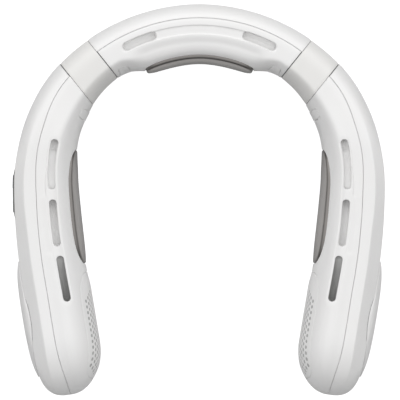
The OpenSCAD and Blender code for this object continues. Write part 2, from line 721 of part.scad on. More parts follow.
// A bracket fills the end of a shell. side is -1 for the neck piece and 1 for the arm
bracket_row_shares = [0, 0.5, 1];
function bracket_row(s, d) = [for (k = [0 : sleeve_steps - 1])
    let (p = section(s, 360 * k / sleeve_steps, wall + seat))
    seat_at(s, p[0], p[1], d)];
function bracket_middle(s) = [for (k = [0 : sleeve_steps - 1]) place(s, 0, 0)];
module bracket(side) {
    mouth = sleeve_l / 2 + wide_seam_gap;
    from = cut_s(0, side * mouth) + (side < 0 ? -bracket_l : 0);
    places = [for (t = bracket_row_shares) from + bracket_l * t];
    color(dark_plastic) difference() {
        thick_sheet([for (s = places) bracket_middle(s)], [for (s = places) bracket_row(s, side * mouth)],
            ring = true);
        at_hinge() {
            translate([0, side * (mouth + leaf_grip / 2), 0])
                block(leaf_t + 2 * contact, leaf_grip + 2 * seat, leaf_h + 2 * contact);
            at_screws(side) {
                translate([0, 0, -screw_l / 2]) cylinder(r = screw_r + contact, h = screw_l + contact);
                translate([0, 0, -screw_l / 2 - body_half_w])
                    cylinder(r = screw_head_r + contact, h = body_half_w);
            }
        }
    }
}
// The two screws of a leaf, along Z from their heads, which lie on the neck side
module at_screws(side) {
    translate([0, side * (sleeve_l / 2 + wide_seam_gap + leaf_grip / 2), 0])
        for (z = [-1, 1]) translate([0, 0, z * screw_pitch / 2]) rotate([0, 90, 0]) children();
}
module leaf_screws(side) {
    color(steel) at_hinge() at_screws(side) {
        translate([0, 0, -screw_l / 2]) cylinder(r = screw_r, h = screw_l);
        translate([0, 0, -screw_l / 2 - screw_head_h]) cylinder(r = screw_head_r, h = screw_head_h);
    }
}
// side is -1 for the neck leaf and 1 for the arm leaf
module leaf_plate(side) {
    reach = sleeve_l / 2 + wide_seam_gap + leaf_grip;
    difference() {
        translate([0, side * (knuckle_r + (reach - knuckle_r) / 2), 0])
            block(leaf_t, reach - knuckle_r, leaf_h);
        at_screws(side) cylinder(r = screw_r + contact, h = 2 * leaf_t, center = true);
    }
}
module neck_leaf() {
    color(steel) at_hinge() difference() {
        union() {
            leaf_plate(-1);
            for (side = [-1, 1]) {
                translate([0, 0, side * (leaf_h - knuckle_h) / 2 - knuckle_h / 2])
                    cylinder(r = knuckle_r, h = knuckle_h);
                translate([0, -knuckle_r / 2, side * (leaf_h - knuckle_h) / 2])
                    block(leaf_t, knuckle_r, knuckle_h);
            }
        }
        translate([0, 0, -leaf_h]) cylinder(r = pin_r + running / 2, h = 2 * leaf_h);
    }
}
module arm_leaf() {
    barrel_h = leaf_h - 2 * knuckle_h - 2 * seat;
    color(steel) at_hinge() difference() {
        union() {
            leaf_plate(1);
            translate([0, 0, -barrel_h / 2]) cylinder(r = knuckle_r, h = barrel_h);
            translate([0, knuckle_r / 2, 0]) block(leaf_t, knuckle_r, barrel_h);
        }
        translate([0, 0, -leaf_h]) cylinder(r = pin_r + running, h = 2 * leaf_h);
    }
}
module hinge_pin() {
    color(steel) at_hinge() {
        translate([0, 0, -leaf_h / 2 - pin_head_h]) cylinder(r = pin_r, h = leaf_h + 2 * pin_head_h);
        for (side = [-1, 1])
            translate([0, 0, side * (leaf_h / 2 + contact + pin_head_h / 2) - pin_head_h / 2])
                cylinder(r = pin_head_r, h = pin_head_h);
    }
}

// The shells of an arm
plate_s = quarter_l + arm_plate_at;
cover_s = side_l - cover_from_nose;
grille_s = side_l - grille_from_nose;
panel_s = quarter_l + panel_at;
battery_s = quarter_l + battery_at;
battery_u = 3.2;
module arm_outer_shell(controls) {
    d = -neck_cut + wide_seam_gap;
    color(white_shell) difference() {
        shell(arm_places(d), true, d);
        at_fan() cylinder(r = intake_r, h = 2 * body_half_w);
        if (controls) {
            patch_cut("open", panel_s, panel_half_l + contact, panel_half_h + contact, panel_square,
                panel_recess);
            at_button(-1) rotate([0, 90, 0]) cylinder(r = flange_r + seat, h = 2 * overrun, center = true);
            at_button(1) rotate([0, 90, 0]) cylinder(r = flange_r + seat, h = 2 * overrun, center = true);
        }
    }
}
module arm_inner_shell() {
    d = -neck_cut + seam_gap;
    color(white_shell) difference() {
        shell(arm_places(d), false, d);
        patch_cut("neck", plate_s, arm_plate_half_l + plate_gap, arm_plate_half_h + plate_gap, plate_square,
            wall + overrun);
        patch_cut("neck", grille_s, grille_half_l + contact, grille_half_h + contact, grille_square,
            grille_recess);
        at_fan() translate([0, 0, -2 * body_half_w]) cylinder(r = intake_r, h = 2 * body_half_w);
        for (slot_share = arm_slot_shares)
            slot(place(slot_share[0] * side_l, slot_share[1] * body_half_w, 0),
                place(slot_share[2] * side_l, slot_share[3] * body_half_w, 0), arm_slot_w);
        strip_cut(arm_strip_s);
    }
}
module arm_cooling_plate() {
    color(brushed_aluminium) plate_with_pad(plate_s, arm_plate_half_l, arm_plate_half_h);
}
module arm_thermoelectric_module() {
    color(ceramic_white) thermoelectric_module(plate_s);
}
module arm_heat_sink() {
    color(brushed_aluminium) heat_sink(plate_s, fin_reach);
}

// The air duct: a bulkhead near the hinge, and a channel from it under the first two slots, above and
// below. The air comes up into a channel through windows that lie between the slots
arm_line = [for (x = arm_slot_shares) each
    [[x[0] * side_l, x[1] * body_half_w], [x[2] * side_l, x[3] * body_half_w]]];
function between_knots(line) = concat([[line[0][0] - 6, line[0][1]]],
    [for (i = [0 : len(line) - 2]) each i < 3 ? [line[i], (line[i] + line[i + 1]) / 2] : [line[i]]],
    [line[len(line) - 1]]);
slot_reach = (arm_slot_w + channel_lip) / 2;
bulkhead_from = cut_s(0, -neck_cut + wide_seam_gap + bracket_l) + 3 * seat;
bulkhead_l = 6;
bulkhead_steps = 20;
window_l = 3.6;
function bulkhead_row(s, middle) = [for (k = [0 : bulkhead_steps - 1])
    let (p = section(s, 360 * k / bulkhead_steps, wall + seat))
    middle ? place(s, 0, 0) : seat_at(s, p[0], p[1], -neck_cut + wide_seam_gap)];
module air_duct() {
    places = [bulkhead_from, bulkhead_from + bulkhead_l];
    from = bulkhead_from + bulkhead_l / 2;
    windows = [arm_line[0][0], arm_line[2][0]] - [1, 1] * (slot_reach + window_l / 2);
    color(white_shell) {
        thick_sheet([for (s = places) bulkhead_row(s, true)], [for (s = places) bulkhead_row(s, false)],
            ring = true);
        top_and_bottom() difference() {
            channel(between_knots(arm_line), from, arm_line[3][0] + slot_reach, arm_slot_w,
                channel_shallow, channel_deep);
            for (s = windows)
                at_side(s, lookup(s, arm_line), half_h(s) - overrun - channel_shallow)
                    block(arm_slot_w, window_l, 2 * overrun);
        }
    }
}
module battery() {
    color(battery_blue) at_side(battery_s, battery_u + battery_t / 2) rotate([0, 90, 0])
        slab(battery_h, battery_l, battery_t, battery_corner);
}
// A foam pad holds the battery away from the outer shell, past the control board
pad_l_shares = [0.06, 0.2, 0.34, 0.46];
pad_h_shares = [-0.4, -0.2, 0, 0.2, 0.4];
module battery_pad() {
    ys = pad_l_shares * battery_l;
    zs = pad_h_shares * battery_h;
    color(grey_plastic) thick_sheet(
        [for (y = ys) [for (z = zs) place(battery_s + y, open_wall(battery_s + y, z, wall + seat), z)]],
        [for (y = ys) [for (z = zs) beside(battery_s, battery_u + battery_t + contact, y, z)]]);
}

// The fan: a scroll housing, an impeller with forward-curved blades and the motor inside its hub
housing_w = impeller_w + 2 * contact + 2 * housing_wall + 2 * seat;
scroll_steps = 40;
// The scroll turns from its tongue, near the outlet's roof, round to the outlet's floor
tongue_angle = 128;
scroll_turn = 218;
function scroll(wall_out) = [for (i = [0 : scroll_steps])
    let (a = tongue_angle - scroll_turn * i / scroll_steps)
    let (r = impeller_r + scroll_room + scroll_growth * i / scroll_steps + wall_out)
    [r * cos(a), r * sin(a)]];
module scroll_shape(wall_out, outlet_out) {
    line = scroll(wall_out);
    end = line[scroll_steps];
    start = line[0];
    polygon(concat([[-outlet_l - outlet_out, start[1]]], line, [[-outlet_l - outlet_out, end[1]]]));
}
module fan_housing() {
    color(grey_plastic) at_fan() {
        translate([0, 0, -housing_w / 2]) linear_extrude(housing_w) difference() {
            scroll_shape(housing_wall, 0);
            scroll_shape(0, overrun);
        }
        for (side = [-1, 1])
            translate([0, 0, side * (housing_w - housing_wall) / 2 - housing_wall / 2])
                linear_extrude(housing_wall) difference() {
                    scroll_shape(housing_wall, 0);
                    circle(r = intake_r - seat - collar_t);
                }
        for (side = [-1, 1])
            translate([0, 0, side * (housing_w + collar_reach) / 2 - collar_reach / 2 - side * housing_wall / 2])
                linear_extrude(collar_reach + housing_wall / 2) difference() {
                    circle(r = intake_r - seat);
                    circle(r = intake_r - seat - collar_t);
                }
        translate([0, 0, housing_w / 2 - housing_wall]) linear_extrude(housing_wall) {
            circle(r = hub_r);
            for (a = [90, 210, 330])
                rotate(a) translate([0, -spoke_w / 2]) square([intake_r - seat - collar_t / 2, spoke_w]);
        }
    }
    color(grey_plastic) {
        outlet_channel(outlet_deep, scroll(housing_wall)[0][1]);
        translate([0, 0, 2 * mid_z]) mirror([0, 0, 1])
            outlet_channel(outlet_low_deep, -scroll(housing_wall)[scroll_steps][1]);
    }
}
// A channel under the last slot, on a rib that stands on the housing, whose wall is at height roof_z
outlet_rib_l = 6;
module outlet_channel(deep, roof_z) {
    to = arm_line[5][0] + slot_reach;
    rib_s = to - outlet_rib_l;
    u = lookup(rib_s, arm_line);
    top = roof(rib_s, u, wall + seat) - deep;
    channel(arm_line, arm_line[4][0] - slot_reach, to, arm_slot_w, outlet_shallow, deep);
    at_side(rib_s, u, (top + roof_z - housing_wall / 2) / 2)
        block(channel_t, outlet_rib_l, top - roof_z + housing_wall / 2);
}
spoke_w = 3;
stator_room = 0.7;
module fan_motor() {
    depth = (housing_w - impeller_w) / 2 - housing_wall;
    top = housing_w / 2 - housing_wall - contact;
    from = hub_t + seat;
    color(steel) at_fan() difference() {
        union() {
            translate([0, 0, from]) cylinder(r = hub_r - hub_t - stator_room, h = top - from - depth);
            translate([0, 0, from]) cylinder(r = hub_r - 2 * hub_t - stator_room, h = top - from);
        }
        translate([0, 0, -overrun]) cylinder(r = shaft_r + running, h = housing_w);
    }
}
module blade() {
    r = impeller_r - contact;
    steps = 4;
    lean = 24;
    function edge(t, side) = let (a = lean * t * t + side * blade_t / 2 / r * 180 / PI)
        (r - blade_depth * (1 - t)) * [cos(a), sin(a)];
    polygon(concat(
        [for (i = [0 : steps]) edge(i / steps, -1)],
        [for (i = [steps : -1 : 0]) edge(i / steps, 1)]
    ));
}
module impeller() {
    color(dark_plastic) at_fan() {
        linear_extrude(hub_t) difference() {
            circle(r = impeller_r);
            circle(r = shaft_r);
        }
        linear_extrude(impeller_w / 2) difference() {
            circle(r = hub_r);
            circle(r = hub_r - hub_t);
        }
        cylinder(r = shaft_r, h = impeller_w / 2 - hub_t);
        translate([0, 0, -impeller_w / 2]) linear_extrude(impeller_w)
            for (i = [0 : blade_count - 1]) rotate(360 * i / blade_count) blade();
        for (z = [-impeller_w / 2, impeller_w / 2 - hub_t])
            translate([0, 0, z]) linear_extrude(hub_t) difference() {
                circle(r = impeller_r);
                circle(r = impeller_r - 2 * hub_t);
            }
    }
}

// Covers over the two intakes of a fan, each with rings of holes round its axle
module intake_holes(from_z) {
    at_fan() translate([0, 0, from_z])
        for (ring = [1 : 3])
            for (i = [0 : 6 * ring - 1])
                rotate(360 * i / (6 * ring)) translate([ring * hole_pitch, 0, 0])
                    cylinder(r = hole_r, h = body_half_w);
}
module intake_cover() {
    color(white_shell) difference() {
        wall_patch("open", cover_s, cover_half_l, cover_half_h, 2, -cover_proud, -cover_edge, -contact, 0.86);
        intake_holes(body_half_w / 2);
    }
}
module intake_grille() {
    color(white_shell) difference() {
        wall_patch("neck", grille_s, grille_half_l, grille_half_h, grille_square, -grille_proud, 0,
            grille_recess - 2 * contact, 0.94);
        intake_holes(-body_half_w * 1.5);
    }
}

// The control panel and its two buttons, on the left arm's open side
module at_button(side) {
    s = panel_s + side * button_at;
    at_side(s, open_wall(s, 0)) children();
}
module control_panel() {
    color(dark_plastic) difference() {
        wall_patch("open", panel_s, panel_half_l, panel_half_h, panel_square, -panel_proud, 0,
            panel_recess - 2 * contact);
        for (side = [-1, 1])
            at_button(side) rotate([0, 90, 0])
                cylinder(r = button_r + button_gap, h = 2 * overrun, center = true);
    }
}
button_proud = 0.3;
module button(side) {
    top = panel_proud + button_proud;
    bottom = panel_recess + button_travel;
    color(grey_plastic) at_button(side) rotate([0, 90, 0]) {
        translate([0, 0, -bottom]) cylinder(r = button_r, h = top + bottom);
        translate([0, 0, -bottom - flange_t]) cylinder(r = flange_r, h = flange_t);
    }
}
switch_h = 1.2;
post_r = 1.2;
module control_board() {
    flange_bottom = panel_recess + button_travel + flange_t;
    plunger_top = flange_bottom + button_travel + contact;
    board_top = plunger_top + switch_h;
    post_top = open_wall(panel_s, 0) - open_wall(panel_s, panel_half_h, wall + seat);
    post_h = board_top - post_top;
    color(board_green) {
        at_side(panel_s, open_wall(panel_s, 0) - board_top) {
            translate([-board_t / 2, 0, 0]) block(board_t, 2 * panel_half_l, 2 * panel_half_h);
            for (z = [-1, 1])
                translate([-board_t / 2, 0, z * (panel_half_h - post_r)]) rotate([0, 90, 0])
                    cylinder(r = post_r, h = post_h + board_t / 2);
        }
        for (side = [-1, 1])
            at_button(side) rotate([0, 90, 0]) translate([0, 0, -board_top - board_t / 2])
                cylinder(r = plunger_r, h = switch_h + board_t / 2);
    }
}

neck_outer_shell();
neck_inner_shell();
neck_cooling_plate();
neck_thermoelectric_module();
neck_heat_sink();
main_circuit_board();
charging_socket();
neck_duct();  // left_neck_duct
strip(neck_strip_s);  // left_neck_strip
hinge_sleeve();  // left_hinge_sleeve
bracket(-1);  // left_neck_bracket
neck_leaf();  // left_neck_leaf
leaf_screws(-1);  // left_neck_screws
hinge_pin();  // left_hinge_pin
bracket(1);  // left_arm_bracket
arm_leaf();  // left_arm_leaf
leaf_screws(1);  // left_arm_screws
strip(arm_strip_s);  // left_arm_strip
arm_outer_shell(controls = true);  // left_outer_shell
arm_inner_shell();  // left_inner_shell
arm_cooling_plate();  // left_cooling_plate
arm_thermoelectric_module();  // left_thermoelectric_module
arm_heat_sink();  // left_heat_sink
air_duct();  // left_air_duct
battery();  // left_battery
battery_pad();  // left_battery_pad
fan_housing();  // left_fan_housing
fan_motor();  // left_fan_motor
impeller();  // left_impeller
intake_cover();  // left_intake_cover
intake_grille();  // left_intake_grille
control_panel();
control_board();
button(-1);  // power_button
button(1);  // mode_button
other_side() neck_duct();  // right_neck_duct
other_side() strip(neck_strip_s);  // right_neck_strip
other_side() hinge_sleeve();  // right_hinge_sleeve
other_side() bracket(-1);  // right_neck_bracket
other_side() neck_leaf();  // right_neck_leaf
other_side() leaf_screws(-1);  // right_neck_screws
other_side() hinge_pin();  // right_hinge_pin
other_side() bracket(1);  // right_arm_bracket
other_side() arm_leaf();  // right_arm_leaf
other_side() leaf_screws(1);  // right_arm_screws
other_side() strip(arm_strip_s);  // right_arm_strip
other_side() arm_outer_shell(controls = false);  // right_outer_shell
other_side() arm_inner_shell();  // right_inner_shell
other_side() arm_cooling_plate();  // right_cooling_plate
other_side() arm_thermoelectric_module();  // right_thermoelectric_module
other_side() arm_heat_sink();  // right_heat_sink
other_side() air_duct();  // right_air_duct
other_side() battery();  // right_battery
other_side() battery_pad();  // right_battery_pad
other_side() fan_housing();  // right_fan_housing
other_side() fan_motor();  // right_fan_motor
other_side() impeller();  // right_impeller
other_side() intake_cover();  // right_intake_cover
other_side() intake_grille();  // right_intake_grille
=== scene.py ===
# %% [markdown]
# # An electric neck fan
# A band of white moulded plastic lies round the neck: a curved neck piece, two soft sleeves with a hinge
# in each, and two arms with a fan in each nose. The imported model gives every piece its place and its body.
# The shells, sleeves, plates and covers are made again here as dense smooth meshes, because the light has
# to run over them without a facet, and the pieces inside keep their own meshes and get their finishes.

# %% The frame
import math
import bmesh
import bpy
import numpy as np
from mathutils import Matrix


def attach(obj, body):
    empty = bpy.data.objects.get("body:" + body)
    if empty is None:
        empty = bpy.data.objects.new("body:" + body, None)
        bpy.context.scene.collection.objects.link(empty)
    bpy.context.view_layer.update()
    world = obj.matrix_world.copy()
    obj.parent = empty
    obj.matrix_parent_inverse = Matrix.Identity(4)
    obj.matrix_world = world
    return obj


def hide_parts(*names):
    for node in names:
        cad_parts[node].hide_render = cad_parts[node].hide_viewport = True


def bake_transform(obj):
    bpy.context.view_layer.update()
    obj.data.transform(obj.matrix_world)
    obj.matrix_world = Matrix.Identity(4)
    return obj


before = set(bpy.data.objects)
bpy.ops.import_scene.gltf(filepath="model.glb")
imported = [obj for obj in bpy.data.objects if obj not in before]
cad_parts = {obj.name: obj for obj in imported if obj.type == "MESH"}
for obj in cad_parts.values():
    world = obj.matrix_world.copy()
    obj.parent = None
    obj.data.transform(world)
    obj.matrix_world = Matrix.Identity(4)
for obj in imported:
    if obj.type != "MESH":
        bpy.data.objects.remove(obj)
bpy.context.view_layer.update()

# %% [markdown]
# ## The form
# The whole band follows one line in plan: a quarter ring round the nape, a gentle arc and a straight run to
# the nose. Every place is a distance s down that line, a distance u outwards from it and a height z, in
# millimetres, so that a seam or a plate is put on the curved body as if it were flat.

# %% The centre line
MM = 0.001
ring_r, ring_y = 76.8, 6.25
arm_r, arm_lean, arm_straight = 280.0, math.radians(9.4), 58.8
quarter_l = math.pi * ring_r / 2
curve_l = arm_r * arm_lean
side_l = quarter_l + curve_l + arm_straight
half_w, arm_h, neck_h = 16.0, 56.0, 50.0
mid_z = arm_h / 2


def spine(s):
    """X and Y on the centre line at s, and the angle of its outward direction from +Y."""
    q = np.abs(s)
    side = np.where(s < 0, -1.0, 1.0)
    turn = np.minimum(q, quarter_l) / ring_r
    bend = np.clip(q - quarter_l, 0, curve_l) / arm_r
    run = np.maximum(0, q - quarter_l - curve_l)
    x = -side * (ring_r * np.sin(turn) - arm_r * (1 - np.cos(bend)) - run * np.sin(bend))
    y = ring_y + ring_r * np.cos(turn) - arm_r * np.sin(bend) - run * np.cos(bend)
    return x, y, side * (turn + bend)


def around(count):
    return np.linspace(0, 2 * math.pi, count, endpoint=False)


def place(s, u, z):
    """The point u outwards from the centre line at s, at height z over the middle."""
    s, u, z = np.broadcast_arrays(*(np.asarray(v, float) for v in (s, u, z)))
    x, y, a = spine(s)
    return np.stack([x - u * np.sin(a), y + u * np.cos(a), z + mid_z], axis=-1)


print(f"one side is {side_l:.1f} mm long")

# %% [markdown]
# The widths come from short tables of shares. A smooth curve goes through each and is averaged over a few
# millimetres, because a kink too small to measure still shows as a line in a reflection.

# %% Curves through tables
soft_reach, soft_samples, soft_tail = 3.0, 7, 1.2


def ease(t):
    t = np.clip(t, 0, 1)
    return t * t * (3 - 2 * t)


def through(table, s):
    """A smooth curve through a table of pairs."""
    at, value = np.array(table).T
    slope = np.zeros(len(at))
    slope[1:-1] = (value[2:] - value[:-2]) / (at[2:] - at[:-2])
    x = np.clip(np.abs(s) / side_l, 0, 1)
    i = np.clip(np.searchsorted(at, x, side="right") - 1, 0, len(at) - 2)
    run = at[i + 1] - at[i]
    t = (x - at[i]) / run
    return (value[i] * (1 + 2 * t) * (1 - t) ** 2 + value[i + 1] * t * t * (3 - 2 * t)
            + slope[i] * run * t * (1 - t) ** 2 - slope[i + 1] * run * t * t * (1 - t))


def along(table, s):
    """That curve, averaged on both sides of s."""
    offsets = np.linspace(-soft_reach, soft_reach, soft_samples)
    weights = 1 - (offsets / (soft_reach * soft_tail)) ** 2
    return sum(w * through(table, s + o) for o, w in zip(offsets, weights)) / weights.sum()


# %% [markdown]
# The body is 16 mm to each side of its line, give or take, and closes at the nose in a superellipse: one
# exponent does what a row of fillets would.

# %% Widths and heights
wall = 1.8
open_shares = [[0, 0.92], [0.1, 0.925], [0.238, 0.985], [0.333, 1.04], [0.417, 1.02],
               [0.466, 0.997], [0.665, 0.985], [1, 0.985]]
neck_shares = [[0, 0.886], [0.13, 0.886], [0.169, 0.694], [0.186, 0.6], [0.208, 0.556],
               [0.257, 0.562], [0.295, 0.599], [0.33, 0.65], [0.364, 0.69], [0.4, 0.734],
               [0.43, 0.794], [0.461, 0.856], [0.4925, 0.912], [0.528, 0.95], [0.586, 1.006],
               [0.643, 1.044], [0.71, 1.075], [0.82, 1.088], [1, 1.088]]
parting_shares = [[0, 0.469], [0.222, 0.48], [0.302, 0.519], [0.346, 0.512], [0.41, 0.412],
                  [0.457, 0.375], [0.519, 0.304], [0.563, 0.281], [0.759, 0.246], [0.896, 0.238],
                  [1, 0.1]]
rise_from_share, rise_to_share = 0.29, 0.46
tip_l, nose_l = 24.4, 32.4
open_tip_square, neck_tip_square, top_tip_square = 3, 2, 2.5


def rise(s):
    """0 at the neck piece and 1 where the arm has its full height."""
    return ease((np.abs(s) / side_l - rise_from_share) / (rise_to_share - rise_from_share))


def rounded(s, length, inset, square):
    """A factor of 1 that falls to 0 over a length of the nose."""
    x = np.clip((np.abs(s) - (side_l - length)) / (length - inset), 0, 1)
    return np.where(x > 1 - 1e-9, 0, (1 - x ** square) ** (1 / square))


def open_w(s, inset=0):
    return along(open_shares, s) * half_w - inset


def neck_w(s, inset=0):
    return along(neck_shares, s) * half_w - inset


def half_h(s, inset=0):
    height = (neck_h + (arm_h - neck_h) * rise(s)) / 2 - inset
    return height * rounded(s, nose_l, inset, top_tip_square)


def parting(s):
    return along(parting_shares, s) * half_w


print(f"at the nape it is {float(open_w(0.0) + neck_w(0.0)):.1f} mm thick")

# %% [markdown]
# The open side is nearly flat and turns into the top at a soft shoulder. Down the arms this sharpens into a
# crease with a slanted band below it, which the photograph shows as a strip of one shade.

# %% The open half of the cross-section
open_bow, shoulder_square, shoulder_growth = 1.7, 5, 2.5
crease_from, crease_to = 84.0, 112.0
crease_stop, crease_fade = 3, 14
crease_shares = [[0, 0.68], [0.55, 0.67], [0.66, 0.60], [1, 0.60]]
band_slope, crown_fall = 0.84, 0.01
side_square, side_bow = 40, 2.2
crease_blend, edge_blend = 0.012, 0.03


def lower_of(a, b, blend):
    """The lower of two heights, with the corner where they cross rounded."""
    return (a + b - np.sqrt((a - b) ** 2 + blend ** 2)) / 2


def open_height(s, x):
    """The share of the height that the open half has at a share x of its width."""
    soft = np.maximum(0, 1 - x ** (shoulder_square + shoulder_growth * rise(s))) ** (1 / open_bow)
    band = 1 - band_slope * (x - along(crease_shares, s))
    side = np.maximum(0, 1 - x ** side_square) ** (1 / side_bow)
    top = lower_of(1 - crown_fall * x ** 2, band, crease_blend)
    creased = np.maximum(0, lower_of(top, side, edge_blend))
    share = (ease((np.abs(s) - crease_from) / (crease_to - crease_from))
             * ease((side_l - crease_stop - np.abs(s)) / crease_fade))
    return soft + (creased - soft) * share


print(f"the crease is full from {crease_to:.0f} mm on")

# %% [markdown]
# The neck side is close to an ellipse, and fuller at the nape. Its formula rises a little over the top, so
# that some bow is left where the two halves meet, and a parabola levels it off.

# %% The whole cross-section
open_spread, crown = 2.7, 1.02
arm_square, nape_square = 2.15, 3.0
nape_half_l, nape_fade = 35.0, 10.0


def neck_square(s):
    return arm_square + (nape_square - arm_square) * ease((nape_half_l + nape_fade - np.abs(s)) / nape_fade)


def section(s, angle, inset=0):
    """Place and height round a cross-section: angle 0 is its open side, a quarter turn is its top."""
    c, sn = np.cos(angle), np.sin(angle)
    x = np.maximum(c, 0) ** (2 / open_spread)
    square = neck_square(s)
    n = np.maximum(-c, 0) ** (2 / square)
    h = half_h(s, inset)
    u = np.where(c >= 0, x * open_w(s, inset) * rounded(s, tip_l, inset, open_tip_square),
                 -n * neck_w(s, inset) * rounded(s, tip_l, inset, neck_tip_square))
    over = crown * np.abs(sn) ** (2 / square)
    over = over - np.maximum(0, over - (2 - crown)) ** 2 / (4 * (crown - 1))
    z = np.where(c >= 0, open_height(s, x), over)
    return u, np.sign(sn) * h * z


def angle_of(s, u, inset=0):
    """The angle in the upper half at which the cross-section passes u."""
    out = np.arccos(np.clip(u / open_w(s, inset), 0, 1) ** (open_spread / 2))
    into = math.pi - np.arccos(np.clip(-u / neck_w(s, inset), 0, 1) ** (neck_square(s) / 2))
    return np.where(u >= 0, out, into)


print(f"the neck side's exponent is {neck_square(0.0):.1f} at the nape")

# %% [markdown]
# Plates and windows need to know how far out a wall lies at a height. The open side's formula can't be
# turned round, so its answer is found by halving an interval.

# %% The walls
halvings = 40


def neck_wall(s, z, depth):
    """The u of the neck side at height z, a depth under the surface."""
    high = np.clip(np.abs(z) / (crown * half_h(s)), 0, 1)
    square = neck_square(s)
    return depth - neck_w(s) * rounded(s, tip_l, 0, neck_tip_square) * (1 - high ** square) ** (1 / square)


def open_wall(s, z, depth):
    """The u of the open side at height z, a depth under the surface."""
    high = np.clip(np.abs(z) / half_h(s), 0, 1)
    low, up = np.zeros_like(high), np.ones_like(high)
    for _ in range(halvings):
        middle = (low + up) / 2
        over = open_height(s, middle) > high
        low, up = np.where(over, middle, low), np.where(over, up, middle)
    return open_w(s) * rounded(s, tip_l, 0, open_tip_square) * low - depth


wall_at = {"neck": neck_wall, "open": open_wall}
arm_s = side_l / 2
print(f"an arm is {float(open_wall(arm_s, 0.0, 0) - neck_wall(arm_s, 0.0, 0)):.1f} mm thick")

# %% [markdown]
# Both seams of a sleeve are flat cuts across the band that face the same way, 38.7 degrees round the
# ring. Rows of a mesh next to a seam are turned to lie along it, and within 25 mm they turn back square.

# %% The seams
hinge_s = math.radians(43.8) * ring_r
seam_angle, seam_fade = math.radians(38.7), 25.0
sleeve_l = 17.8
neck_cut = -sleeve_l / 2
seam_gap, wide_seam_gap = 0.15, 0.4


def cut_s(u, d):
    """Where a cut at distance d from the hinge pin crosses a line at u."""
    across = d + ring_r * math.sin(hinge_s / ring_r - seam_angle)
    return ring_r * (seam_angle + np.arcsin(across / (ring_r + u)))


def seat_at(s, u, z, d):
    """The point at s, u and z, turned to lie along the cut at d when it is near."""
    q = np.abs(s)
    near = np.clip(1 - np.abs(q - cut_s(0.0, d)) / seam_fade, 0, 1)
    return place(np.where(s < 0, -1, 1) * (q + near * (cut_s(u, d) - cut_s(0.0, d))), u, z)


print(f"a sleeve runs from {cut_s(0.0, neck_cut):.1f} to {cut_s(0.0, -neck_cut):.1f} mm")

# %% [markdown]
# ## Finishes
# Every finish starts from what the real one is: the material, and how its surface was made. Colours are
# written as they look, in sRGB, and turned into the linear values that the shaders work with.

# %% Colours and nodes


def linear(text):
    """An sRGB hex colour as a linear RGBA one."""
    values = [int(text[i:i + 2], 16) / 255 for i in (1, 3, 5)]
    return tuple(v / 12.92 if v <= 0.04045 else ((v + 0.055) / 1.055) ** 2.4 for v in values) + (1.0,)


def add(tree, kind, inputs=None, **settings):
    """Adds a node, sets its properties and fills or links its sockets."""
    node = tree.nodes.new("ShaderNode" + kind)
    for name, value in settings.items():
        setattr(node, name, value)
    for name, value in (inputs or {}).items():
        if isinstance(value, bpy.types.NodeSocket):
            tree.links.new(value, node.inputs[name])
        else:
            node.inputs[name].default_value = value
    return node


def multiply_add(tree, *values):
    """The output of a node that multiplies two values and adds a third."""
    return add(tree, "Math", dict(enumerate(values)), operation="MULTIPLY_ADD").outputs[0]


def cleared(owner):
    """The empty node tree of a material or world."""
    owner.use_nodes = True
    owner.node_tree.nodes.clear()
    return owner.node_tree


print("#808080 is", round(linear("#808080")[0], 3), "in linear light")

# %% [markdown]
# A moulded face is never one flat colour. It drifts slightly over some 20 mm, and a fine grain with a real
# size stirs the gloss and the normal.

# %% One finish for all
drift_mm, drift_detail, grain_detail = 22, 2.0, 3.0


def finish(name, colour, other, grain_mm, bump_mm, roughness, spread=0.06, metallic=0.0, **sockets):
    """A surface whose colour drifts between two close ones and whose grain has a real size."""
    material = bpy.data.materials.new(name)
    tree = cleared(material)
    where = add(tree, "TexCoord").outputs["Object"]
    drift = add(tree, "TexNoise", {"Vector": where, "Scale": 1 / (drift_mm * MM), "Detail": drift_detail})
    grain = add(tree, "TexNoise", {"Vector": where, "Scale": 1 / (grain_mm * MM), "Detail": grain_detail})
    grain = grain.outputs["Fac"]
    paint = add(tree, "Mix", {"Factor": drift.outputs["Fac"], "A": linear(colour), "B": linear(other)},
                data_type="RGBA")
    polish = add(tree, "MapRange",
                 {"Value": grain, "To Min": roughness - spread, "To Max": roughness + spread})
    bump = add(tree, "Bump", {"Height": grain, "Strength": 1.0, "Distance": bump_mm * MM})
    shader = add(tree, "BsdfPrincipled",
                 {"Base Color": paint.outputs["Result"], "Roughness": polish.outputs["Result"],
                  "Metallic": metallic, "Normal": bump.outputs["Normal"], **sockets})
    add(tree, "OutputMaterial", {"Surface": shader.outputs["BSDF"]})
    return material


print("one recipe for every finish")

# %% [markdown]
# The shells are ABS from a steel mould that was spark-eroded to a fine satin, so the gloss is even and soft.
# The real grain, about 0.05 mm, is too fine to show, so it is drawn at 0.5 mm and very low. Silicone has
# almost no gloss and a faint bright fringe, polished acrylic mirrors sharply, and foam swallows the light.

# %% Plastics and rubbers
white_abs = finish("ABS moulded satin white", "#efefef", "#ecebea", 0.5, 0.004, 0.42, IOR=1.53)
grey_abs = finish("ABS moulded satin mid grey", "#b6b6b5", "#afafae", 0.5, 0.006, 0.5, IOR=1.53)
black_abs = finish("ABS moulded satin black", "#2b2b2d", "#252527", 0.5, 0.01, 0.45, IOR=1.53)
silicone = finish("Silicone rubber moulded matte warm white", "#eae9e7", "#e6e5e3", 0.6, 0.006, 0.62,
                  IOR=1.41, **{"Sheen Weight": 0.15, "Sheen Roughness": 0.5})
grey_rubber = finish("Silicone rubber moulded matte grey", "#77777a", "#6e6e71", 0.5, 0.01, 0.6, IOR=1.41)
black_pmma = finish("PMMA polished black", "#151517", "#111113", 0.5, 0.001, 0.12, spread=0.03, IOR=1.49)
foam = finish("Polyurethane foam open-cell dark grey", "#4c4c4e", "#414143", 0.7, 0.15, 0.9)
